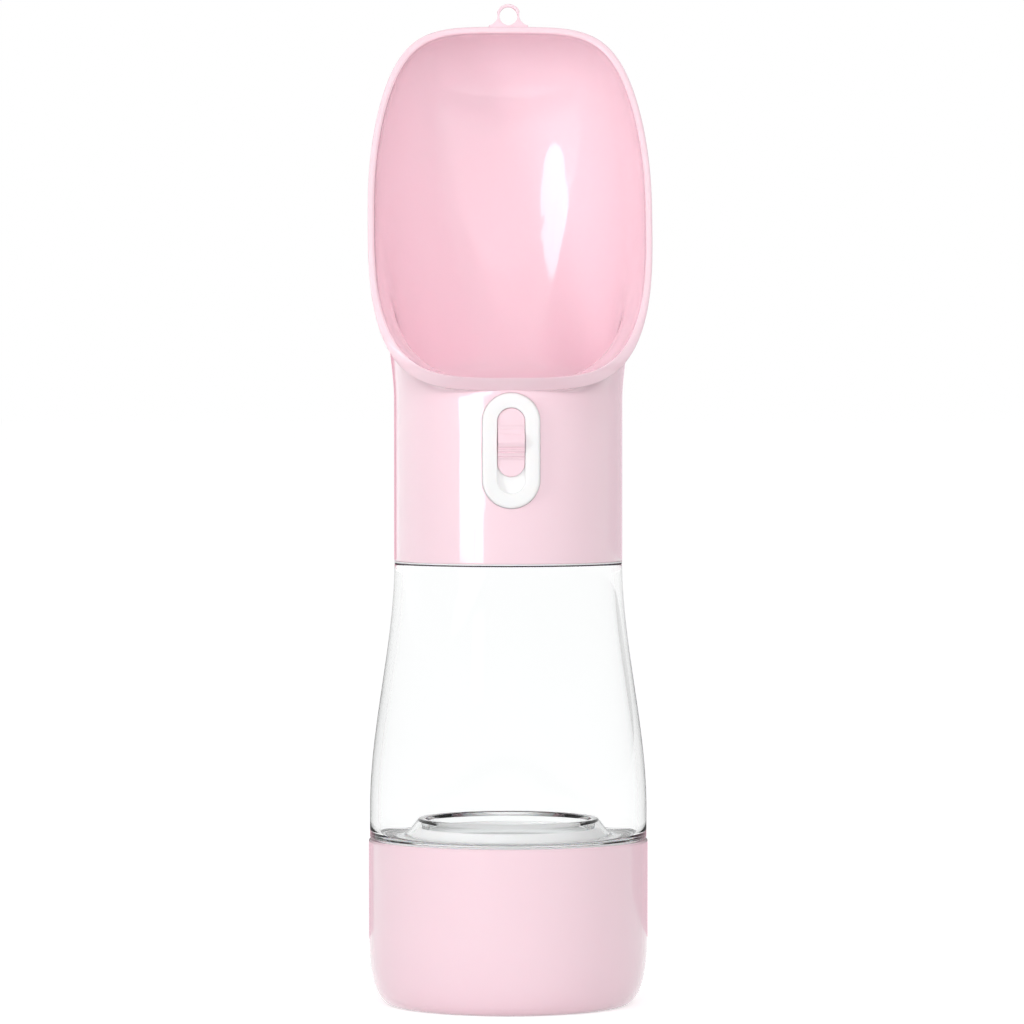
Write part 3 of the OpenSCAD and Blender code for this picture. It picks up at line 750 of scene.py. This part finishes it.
class BuildSeamRing(bpy.types.Operator):
    """White ring at the head's foot, and under it a dark ring that is painted shade in the neck's
    joint
    """

    bl_idname = "dog_bottle.build_seam_ring"
    bl_label = "Seam ring"

    def execute(self, context):
        ring = neck_band("seam_ring", 26.95, NECK_R + 0.02, HEAD_Z + 0.05, FOOT_Z - 0.02,
                         FOOT_Z - 0.1, 0.06)
        finish_piece(ring, "head", satin_white())
        # Painted shade: this dark ring stands in for the shadow in the gap between the head and the
        # bottle
        seal = neck_band("painted_joint_shade", 27.2, NECK_R - 0.08, SHOULDER_Z + 0.02, HEAD_Z + 0.03,
                         HEAD_Z - 0.1, 0.08)
        finish_piece(seal, "neck_seal", painted_shade_rubber())
        return {"FINISHED"}


# ---------- clear bottle and food cup ----------

CUP_R = CUP_HIGH.x / MM
CUP_H = CUP_HIGH.z / MM
CUP_SEAM = CUP_H + 0.3
SPIGOT_R, SPIGOT_LOW = 31.2, 31.5
MOUTH_R, MOUTH_HIGH = 24.1, 119.2


def bottle_radius(z):
    t = min(1.0, max(0.0, (z - 49.0) / 62.0))
    return 34.6 + (28.45 - 34.6) * t * t * (3 - 2 * t)


def steps_between(first, last, count):
    """Heights at even steps, both ends included."""
    return [first + (last - first) * k / count for k in range(count + 1)]


def ridges(name, r, rise, z):
    """Interrupted screw ridge: eight arcs laid along one right-hand helix."""
    root, crest, lead, arc, apart = 1.5, 0.7, 3.0, 50, 60
    bury = math.copysign(0.4, rise)
    wide = root / 2 + (root - crest) / 2 * abs(bury / rise)
    tilt = math.atan(lead / (2 * math.pi * (r + rise / 2)))
    profile = [(r - bury, -wide), (r + rise, -crest / 2), (r + rise, crest / 2), (r - bury, wide)]
    first = mesh_object(name, [(x, 0, h) for x, h in profile], (), [(0, 1, 2, 3)])
    in_edit(first)
    bpy.ops.mesh.spin(steps=20, angle=math.radians(arc), center=(0, 0, 0), axis=(0, 0, 1))
    bpy.ops.object.mode_set(mode="OBJECT")
    tidy(first)
    swept = math.atan2(*reversed(max(first.data.vertices, key=lambda v: abs(v.co.y)).co[:2]))
    first.data.transform(Matrix.Rotation(-swept / 2, 4, "Z"))
    copies = []
    for k in range(8):
        turn = (Matrix.Translation((0, 0, (z + lead * k * apart / 360) * MM))
                @ Matrix.Rotation(math.radians(apart * k), 4, "Z")
                @ Matrix.Rotation(tilt, 4, "X"))
        mesh = first.data.copy()
        mesh.transform(turn)
        copies.append(add(name, mesh))
    bpy.data.objects.remove(first)
    return join(*copies)


class BuildBottle(bpy.types.Operator):
    """Clear bottle: waisted wall, raised ring in its floor, threaded mouth and spigot"""

    bl_idname = "dog_bottle.build_bottle"
    bl_label = "Clear bottle"

    def execute(self, context):
        wall = sizes().bottle_wall / MM
        floor_z, under, top, shelf = 42.0, 40.0, 46.6, SHOULDER_Z - 0.3
        outside = [(bottle_radius(z), z)
                   for z in steps_between(CUP_SEAM + 0.6, SHOULDER_Z - 0.6, 48)]
        inside = [(bottle_radius(z) - wall, z)
                  for z in steps_between(SHOULDER_Z - 0.5, floor_z + 2.2, 44)]
        # From the floor's underside out and up the wall, over the mouth and down inside
        corners = (
            [(0, floor_z), (21.3, floor_z), (21.8, 45.3), (26.04, under), (29.2, under, 0.8),
             (29.2, SPIGOT_LOW, 0.4), (SPIGOT_R, SPIGOT_LOW, 0.4), (SPIGOT_R, CUP_SEAM, 0.2),
             (34.55, CUP_SEAM, 0.4)]
            + outside
            + [(28.4, SHOULDER_Z, 0.3), (MOUTH_R, SHOULDER_Z, 0.3), (MOUTH_R, MOUTH_HIGH, 0.4),
               (22.4, MOUTH_HIGH, 0.4), (22.4, shelf, 0.1), (bottle_radius(110) - wall, shelf, 0.1)]
            + inside
            + [(32.1, floor_z, 1.4), (26.0, floor_z, 0.5), (22.4, top, 0.4), (20.8, top, 0.4),
               (20.2, top - 3.4, 0.4), (0, top - 3.4)])
        bottle = turned("clear_bottle", soft_outline(corners))
        combine(bottle, ridges("mouth_ridges", MOUTH_R, 1.1, SHOULDER_Z + 2.2), "UNION")
        combine(bottle, ridges("spigot_ridges", SPIGOT_R, 1.3, 33.2), "UNION")
        smooth(bottle, 30)
        finish_piece(bottle, "bottle", clear_wall(), ["bottle"])
        bottle.visible_shadow = False
        return {"FINISHED"}


class BuildFloorDisc(bpy.types.Operator):
    """White disc under the clear floor, which shuts the food cup"""

    bl_idname = "dog_bottle.build_floor_disc"
    bl_label = "Floor disc"

    def execute(self, context):
        disc = turned("floor_disc", soft_outline([
            (0, 38.9), (29.0, 38.9, 0.3), (29.0, 39.85, 0.2), (25.9, 39.85), (22.7, 43.9),
            (21.8, 43.9), (21.5, 41.85), (0, 41.85)]))
        smooth(disc, 40)
        finish_piece(disc, "bottle", satin_white())
        return {"FINISHED"}


class BuildCup(bpy.types.Operator):
    """Food cup: rounded foot, soft rim and the inner screw ridges"""

    bl_idname = "dog_bottle.build_cup"
    bl_label = "Food cup"

    def execute(self, context):
        foot_in, foot_h, base = 6.5, 18.0, 2.5
        inner = CUP_R - 2.0
        foot, hollow = [], []
        for k in range(25):
            a = math.pi / 2 * k / 24
            c, s = max(0.0, math.cos(a)) ** 0.833, math.sin(a) ** 0.833
            foot.append((CUP_R - foot_in * (1 - s), foot_h * (1 - c)))
            hollow.append((inner - foot_in * (1 - s), base + (foot_h - base) * (1 - c)))
        # Points close to the corners keep the walls between them evenly shaded
        corners = ([(0, 0)] + foot
                   + [(CUP_R, foot_h + 1), (CUP_R, CUP_H - 0.6), (CUP_R, CUP_H, 0.45),
                      (inner, CUP_H, 0.3), (inner, CUP_H - 0.5), (inner, foot_h + 1)]
                   + list(reversed(hollow)) + [(0, base)])
        cup = turned("food_cup_shell", soft_outline(corners))
        join(cup, ridges("cup_ridges", inner, -1.3, 34.45))
        smooth(cup, 32)
        finish_piece(cup, "food_cup", gloss_pink(), ["food_cup"])
        return {"FINISHED"}


# ---------- button and lock ----------


class BuildButton(bpy.types.Operator):
    """Press button: white pill with a soft edge and the lock's slot, and its retaining flange"""

    bl_idname = "dog_bottle.build_button"
    bl_label = "Press button"

    def execute(self, context):
        slot_half, slot_depth, straight = 3.45, 1.5, 7.1

        def on_face(p, near, far):
            """Whether p is on the front face, between two distances from its middle line."""
            return (abs(p.z - BUTTON_FACE * MM) < 1e-6
                    and near * MM < math.hypot(p.x, max(0, abs(p.y) - straight * MM)) < far * MM)

        button = pill("push_button", BUTTON_W / 2, BUTTON_H, FLANGE_FACE - 0.5, BUTTON_FACE, 0)
        button.matrix_world = Matrix.Identity(4)
        in_edit(button)
        select_points(button, lambda p: p.z > (BUTTON_FACE - 0.01) * MM, "FACE")
        bpy.ops.mesh.inset(thickness=(BUTTON_W / 2 - slot_half) * MM, depth=0)
        bpy.ops.mesh.extrude_region_move(
            TRANSFORM_OT_translate={"value": (0, 0, -slot_depth * MM)})
        select_points(button, lambda p: on_face(p, 7.0, 9.0), "EDGE")
        bpy.ops.mesh.bevel(offset=sizes().button_edge, segments=6, affect="EDGES")
        select_points(button, lambda p: on_face(p, -1.0, 3.6), "EDGE")
        bpy.ops.mesh.bevel(offset=0.25 * MM, segments=3, affect="EDGES")
        bpy.ops.object.mode_set(mode="OBJECT")
        button.matrix_world = Matrix.Translation((0, 0, BUTTON_Z * MM)) @ FACING
        place(button)
        flange = pill("flange", BUTTON_W / 2 + 1.3, BUTTON_H + 2.6,
                      FLANGE_REAR, FLANGE_FACE, BUTTON_Z)
        place(flange)
        combine(flange, block((-12, -26, BUTTON_Z - 13.2), (12, -20, BUTTON_Z + 13.2)), "INTERSECT")
        combine(button, flange, "UNION")
        combine(button, block((-1.83, -28.0, 133.0), (1.83, -21, 144.55)))
        smooth(button, 32)
        finish_piece(button, "press_button", satin_white(), ["press_button"])
        return {"FINISHED"}


class BuildLock(bpy.types.Operator):
    """Lock slider: pink pad with a raised thumb ridge, grip lines, shank and pegs"""

    bl_idname = "dog_bottle.build_lock"
    bl_label = "Lock slider"

    def execute(self, context):
        centre_z, face, rear, half = 140.82, 29.0, 28.2, 3.39
        pad = pill("lock_pad", half, 16.6 + 2 * (half - 3.22), rear, face, 0)
        pad.matrix_world = Matrix.Identity(4)
        in_edit(pad)
        select_points(pad, lambda p: abs(p.z - face * MM) < 1e-6, "EDGE")
        bpy.ops.mesh.bevel(offset=0.4 * MM, segments=5, affect="EDGES")
        bpy.ops.object.mode_set(mode="OBJECT")
        # Side view of the thumb ridge: a peak with hollow flanks, cut by grip lines
        depth = sizes().grip_depth / MM
        rise, reach = 2.6, 4.3

        def ridge_height(s):
            t = min(1.0, abs(s) / reach)
            return rise * (1 - t) ** 1.35 * (1 - 0.10 * math.exp(-(s / 0.45) ** 2))

        top = [k * 0.05 for k in range(-86, 87)]
        # Height of each grip line and its share of the depth
        lines = ((-3.5, 0.7), (-2.4, 0.9), (-1.75, 0.6), (-1.25, 0.9), (2.1, 0.25), (3.3, 0.25))
        outline = [(s, face + ridge_height(s)
                    - depth * sum(d * max(0.0, 1 - abs(s - g) / 0.16) for g, d in lines))
                   for s in top]
        outline = [(-reach - 0.3, rear + 0.2)] + outline + [(reach + 0.3, rear + 0.2)]
        ridge = mesh_object("thumb_ridge", [(-half + 0.12, y, z) for y, z in outline], (),
                            [tuple(range(len(outline)))])
        in_edit(ridge)
        bpy.ops.mesh.extrude_region_move(
            TRANSFORM_OT_translate={"value": (2 * (half - 0.12) * MM, 0, 0)})
        close_edit()
        shank = block((-1.6, -3.5, 21.0 + 1.3), (1.6, 3.5, rear + 0.5))
        pegs = [drum(1.1, 20.9, 23.0, (0, side * 2.0), 48) for side in (-1, 1)]
        for piece in (shank, *pegs):
            place(piece)
        lock = join(pad, ridge, shank, *pegs)
        lock.name = lock.data.name = "lock_thumb_slider"
        lock.matrix_world = Matrix.Translation((0, 0, centre_z * MM)) @ FACING
        smooth(lock, 30)
        finish_piece(lock, "lock_slider", gloss_pink(), ["lock_slider"])
        return {"FINISHED"}


# ---------- inner parts ----------


class BuildSpring(bpy.types.Operator):
    """Return spring: round wire wound four times between washer and collar"""

    bl_idname = "dog_bottle.build_spring"
    bl_label = "Return spring"

    def execute(self, context):
        coil, wire, curls = 3.0, 0.35, 4
        low, high = 133.6 + wire + 0.03, 139.6 - wire - 0.03
        select_nothing()
        bpy.ops.mesh.primitive_circle_add(
            vertices=16, radius=wire * MM, location=(coil * MM, 0, 0), rotation=(math.pi / 2, 0, 0))
        spring = bpy.context.object
        spring.name = spring.data.name = "wound_spring"
        place(spring)
        screw = spring.modifiers.new("wind", "SCREW")
        screw.angle, screw.iterations = 2 * math.pi, curls
        screw.screw_offset = (high - low) / curls * MM
        screw.steps = screw.render_steps = 40
        screw.use_merge_vertices = False
        apply_modifiers(spring)
        in_edit(spring)
        bpy.ops.mesh.fill_holes(sides=0)
        close_edit()
        spring.location = (0, -7 * MM, low * MM)
        smooth(spring, 60)
        finish_piece(spring, "head", drawn_steel(), ["return_spring"])
        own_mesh(spring)
        return {"FINISHED"}


class FinishInnerParts(bpy.types.Operator):
    """Finish the valve, gaskets, screws and other inner parts of the frame"""

    bl_idname = "dog_bottle.finish_inner_parts"
    bl_label = "Inner parts"

    def execute(self, context):
        finishes = {
            satin_white: ("valve_body", "chamber_cap", "wedge_carrier", "lock_plate",
                          "stem_follower"),
            soft_silicone: ("cup_gasket", "neck_gasket", "chamber_gasket", "air_vent",
                            "stem_o_ring", "riser_sleeve", "valve_plug"),
            drawn_steel: ("cap_screws", "seal_washer", "valve_stem", "plug_retainer"),
        }
        for material, names in finishes.items():
            for name in names:
                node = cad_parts[name]
                node.data.materials.clear()
                node.data.materials.append(material())
        return {"FINISHED"}


# ---------- studio ----------


def white_world():
    """White surround, a little darker at the right: it is also what gloss and glass see."""
    world = bpy.data.worlds.new("studio_surround")
    bpy.context.scene.world = world
    nodes = empty_tree(world)
    where = nodes.new("ShaderNodeTexCoord").outputs["Generated"]
    rightward = add_node(nodes, "ShaderNodeSeparateXYZ", {"Vector": where})["X"]

    def level(near, far):
        """White that falls to the right level between two directions."""
        ramp = nodes.new("ShaderNodeMapRange")
        ramp.interpolation_type = "SMOOTHSTEP"
        return put(ramp, {"Value": rightward, "From Min": near, "From Max": far,
                          "To Min": 1.0, "To Max": studio().right_level})["Result"]

    def choose(ray, otherwise, when):
        return add_node(nodes, "ShaderNodeMix", {
            "Factor": ray, "A": otherwise, "B": when})["Result"]

    path = nodes.new("ShaderNodeLightPath").outputs
    lit = choose(path["Is Glossy Ray"], studio().surround, level(0.25, 0.85))
    lit = choose(path["Is Transmission Ray"], lit, level(0.04, 0.6))
    light, seen = (add_node(nodes, "ShaderNodeBackground", {
        "Color": (1, 1, 1, 1), "Strength": strength}) for strength in (lit, 1.0))
    mix = add_node(nodes, "ShaderNodeMixShader", {
        "Fac": path["Is Camera Ray"], 1: light["Background"], 2: seen["Background"]})
    add_node(nodes, "ShaderNodeOutputWorld", {"Surface": mix["Shader"]})


SEEN_FLOOR = 1.34
BOTTLE_MIDDLE = Vector((0, 0, 0.13))
TROUGH_MIDDLE = Vector((0.006, 0, 0.204))


def pale_floor():
    """Plain white floor that keeps the bottle's soft shadow."""
    select_nothing()
    bpy.ops.mesh.primitive_plane_add(size=40)
    floor = bpy.context.object
    floor.name = "pale_floor"
    material = bpy.data.materials.new("floor_white")
    nodes = empty_tree(material)

    def maths(operation, first, second):
        node = nodes.new("ShaderNodeMath")
        node.operation = operation
        return put(node, {0: first, 1: second})["Value"]

    # The eye, gloss and glass see the floor lifted to white
    path = nodes.new("ShaderNodeLightPath").outputs
    seen = maths("MAXIMUM", path["Is Camera Ray"], path["Is Glossy Ray"])
    seen = maths("MAXIMUM", seen, path["Is Transmission Ray"])
    lift = maths("MULTIPLY", seen, SEEN_FLOOR - studio().floor_tone)
    matt = add_node(nodes, "ShaderNodeBsdfDiffuse", {
        "Color": (studio().floor_tone,) * 3 + (1,)})
    glow = add_node(nodes, "ShaderNodeEmission", {"Strength": lift})
    both = add_node(nodes, "ShaderNodeAddShader", {0: matt["BSDF"], 1: glow["Emission"]})
    add_node(nodes, "ShaderNodeOutputMaterial", {"Surface": both["Shader"]})
    floor.data.materials.append(material)


def aimed(name, data, spot, aim):
    """Put a lamp or camera on its spot and turn it to its aim."""
    obj = add(name, data)
    obj.location = spot
    obj.rotation_euler = (aim - obj.location).to_track_quat("-Z", "Y").to_euler()
    return obj


def hang_lamp(lamp, azimuth, distance, height, aim):
    """Hang a lamp that faces the aim; azimuth is measured from the front to the right."""
    a = math.radians(azimuth)
    obj = aimed(lamp.name, lamp, (distance * math.sin(a), -distance * math.cos(a), height), aim)
    obj.visible_glossy = obj.visible_transmission = False


def softbox(name, azimuth, distance, width, height, centre_z, power):
    """Upright softbox that faces the bottle."""
    lamp = bpy.data.lights.new(name, "AREA")
    lamp.shape, lamp.size, lamp.size_y, lamp.energy = "RECTANGLE", width, height, power
    hang_lamp(lamp, azimuth, distance, centre_z, BOTTLE_MIDDLE)


def trough_spot(azimuth, distance, height, power):
    """Narrow soft spot that lights the inside of the trough."""
    lamp = bpy.data.lights.new("trough_spot", "SPOT")
    lamp.energy, lamp.spot_size, lamp.spot_blend = power, math.radians(4.3), 0.8
    lamp.shadow_soft_size = 0.05
    hang_lamp(lamp, azimuth, distance, height, TROUGH_MIDDLE)


def card_finish(card, strength, colour=(1, 1, 1), fade=None):
    """Plain card of light or shade that only gloss mirrors.

    A fade gives two heights and the strength that the card has reached at the upper one.
    """
    material = bpy.data.materials.new(card.name)
    nodes = empty_tree(material)
    if fade:
        low, high, above = fade
        where = nodes.new("ShaderNodeTexCoord").outputs["Object"]
        height = add_node(nodes, "ShaderNodeSeparateXYZ", {"Vector": where})["Z"]
        strength = add_node(nodes, "ShaderNodeMapRange", {
            "Value": height, "From Min": low * MM, "From Max": high * MM,
            "To Min": strength, "To Max": above})["Result"]
    glow = add_node(nodes, "ShaderNodeEmission", {"Strength": strength, "Color": (*colour, 1)})
    mix = add_node(nodes, "ShaderNodeMixShader", {
        "Fac": nodes.new("ShaderNodeLightPath").outputs["Is Transmission Ray"],
        1: glow["Emission"], 2: nodes.new("ShaderNodeBsdfTransparent").outputs["BSDF"]})
    add_node(nodes, "ShaderNodeOutputMaterial", {"Surface": mix["Shader"]})
    card.data.materials.clear()
    card.data.materials.append(material)
    card.visible_camera = card.visible_diffuse = card.visible_shadow = False


def glow_card(name, distance, rows, strength):
    """Curved card of light; each row is a height and the two azimuths it spans."""
    points, faces, wide = [], [], 5
    for z, near, far in rows:
        for k in range(wide):
            a = math.radians(near + (far - near) * k / (wide - 1))
            points.append((distance * math.sin(a) / MM, -distance * math.cos(a) / MM, z / MM))
    for start in range(0, wide * (len(rows) - 1), wide):
        faces += [(k, k + 1, k + 1 + wide, k + wide) for k in range(start, start + wide - 1)]
    card_finish(mesh_object(name, points, (), faces), strength)


# Cards of light: name, distance from the axis, and rows of height and the two azimuths they span
HIGHLIGHT_CARDS = (
    ("trough_card_low", 0.42, (
        (0.0135, -19.5, -23.5), (0.023, -17, -25.5), (0.046, -16.2, -31.2), (0.0634, -17.3, -34.6),
        (0.0792, -16.6, -37.2))),
    ("near_card", 0.6, (
        (0.028, -17, -34.5), (0.053, -18.2, -34.5), (0.075, -19.9, -34.5),
        (0.0915, -21.2, -34.5), (0.0925, -25.7, -34.5), (0.111, -25.7, -34.5),
        (0.1113, -23.4, -34.5), (0.118, -24.2, -34.5), (0.1344, -28.6, -34.5))),
    ("far_card", 0.6, (
        (0.028, -35, -36.5), (0.053, -35, -39.3), (0.075, -35, -40.7), (0.0925, -35, -44.2),
        (0.118, -35, -48.2), (0.1344, -35, -50.0), (0.1346, -28.7, -50.0),
        (0.1438, -29.9, -51), (0.1531, -33, -52.4), (0.1676, -37.9, -54.6),
        (0.180, -43.8, -56.9), (0.1885, -50.5, -55.8))),
    ("upper_strip", 0.3, ((0.1372, -25.0, -27.6), (0.1535, -25.0, -27.6))),
    ("upper_middle", 0.3, ((0.1372, -28.1, -33.9), (0.1535, -28.1, -34.5))),
    ("bar_edge_card", 1.2, (
        (0.0735, -43.5, -51.0), (0.101, -46, -51.0), (0.127, -49, -51.0), (0.149, -50, -51.0))),
    ("cup_card_glow", 0.2, ((0.0279, -34.5, -34.8), (0.031, -28.3, -40.7))),
)
# Softer card at the left rear
SIDE_GLOW, SIDE_ROWS = 1.35, ((0.094, -98, -165), (0.165, -98, -165))
# Coloured cards behind the bottle: name, low and high, left and right, colour
BACK_CARDS = (
    ("cup_card", 1, 32, -130, 300, (0.86, 0.60, 0.68)),
    ("left_head_card", 106, 500, -95, 0, (0.85, 0.40, 0.52)),
    ("right_head_card", 106, 500, 0, 300, (0.88, 0.70, 0.77)),
)
CARD_REACH = 150
# Grey tube round the clear wall, whose edges it darkens from any side; it fades near its top
TUBE_LOW, TUBE_HIGH, TUBE_FADE = 32.2, 105.8, 76
TUBE_GREY, TUBE_TOP_GREY = 0.2, 0.8
CAMERA_AIM = Vector((0.94, 0, 123.1)) * MM


class SetUpStudio(bpy.types.Operator):
    """Pale floor, white surround, lamps, the cards that gloss mirrors, and the camera"""

    bl_idname = "dog_bottle.set_up_studio"
    bl_label = "Studio"

    def execute(self, context):
        white_world()
        pale_floor()
        softbox("key_softbox", -51, 1.3, 0.22, 0.5, 0.35, studio().key_power)
        softbox("front_softbox", 8, 1.7, 1.0, 0.8, 0.6, studio().front_power)
        trough_spot(-30, 1.3, 0.22, studio().spot_power)
        for name, distance, rows in HIGHLIGHT_CARDS:
            glow_card(name, distance, rows, studio().card_glow)
        glow_card("side_card", 0.42, SIDE_ROWS, SIDE_GLOW)
        for name, low, high, left, right, colour in BACK_CARDS:
            card = block((left, CARD_REACH, low), (right, CARD_REACH + 2, high))
            card.name = name
            card_finish(card, studio().back_level, colour)
        tube = turned("glass_card", [(CARD_REACH, TUBE_LOW), (CARD_REACH, TUBE_HIGH)])
        card_finish(tube, TUBE_GREY, fade=(TUBE_FADE, TUBE_HIGH, TUBE_TOP_GREY))
        data = bpy.data.cameras.new("front_camera")
        data.lens, data.sensor_width = studio().lens, 36
        turn, reach = studio().camera_turn, studio().camera_distance
        spot = (CAMERA_AIM.x - reach * math.sin(turn), -reach * math.cos(turn),
                studio().camera_height)
        context.scene.camera = aimed("front_camera", data, spot, CAMERA_AIM)
        context.scene.view_settings.view_transform = "Standard"
        return {"FINISHED"}


class BottlePanel(bpy.types.Panel):
    """Buttons for each piece of the bottle and for the studio"""

    bl_idname = "VIEW3D_PT_dog_bottle"
    bl_label = "Dog bottle"
    bl_space_type = "VIEW_3D"
    bl_region_type = "UI"
    bl_category = "Dog bottle"

    def draw(self, context):
        for group in (context.scene.dog_bottle_sizes, context.scene.dog_bottle_colours,
                      context.scene.dog_bottle_studio):
            for name in group.bl_rna.properties.keys():
                if name not in {"rna_type", "name"}:
                    self.layout.prop(group, name)
        for operator in OPERATORS:
            self.layout.operator(operator.bl_idname)


OPERATORS = (BuildHead, BuildSeamRing, BuildBottle, BuildFloorDisc, BuildCup, BuildButton,
             BuildLock, BuildSpring, FinishInnerParts, SetUpStudio)
CLASSES = (BottleSizes, BottleColours, StudioSettings, *OPERATORS, BottlePanel)


def register():
    for c in CLASSES:
        bpy.utils.register_class(c)
    bpy.types.Scene.dog_bottle_sizes = bpy.props.PointerProperty(type=BottleSizes)
    bpy.types.Scene.dog_bottle_colours = bpy.props.PointerProperty(type=BottleColours)
    bpy.types.Scene.dog_bottle_studio = bpy.props.PointerProperty(type=StudioSettings)


def unregister():
    del bpy.types.Scene.dog_bottle_studio
    del bpy.types.Scene.dog_bottle_colours
    del bpy.types.Scene.dog_bottle_sizes
    for c in reversed(CLASSES):
        bpy.utils.unregister_class(c)


def main():
    register()
    bpy.ops.dog_bottle.build_head()
    bpy.ops.dog_bottle.build_seam_ring()
    bpy.ops.dog_bottle.build_bottle()
    bpy.ops.dog_bottle.build_floor_disc()
    bpy.ops.dog_bottle.build_cup()
    bpy.ops.dog_bottle.build_button()
    bpy.ops.dog_bottle.build_lock()
    bpy.ops.dog_bottle.build_spring()
    bpy.ops.dog_bottle.finish_inner_parts()
    bpy.ops.dog_bottle.set_up_studio()


if __name__ == "__main__":
    main()
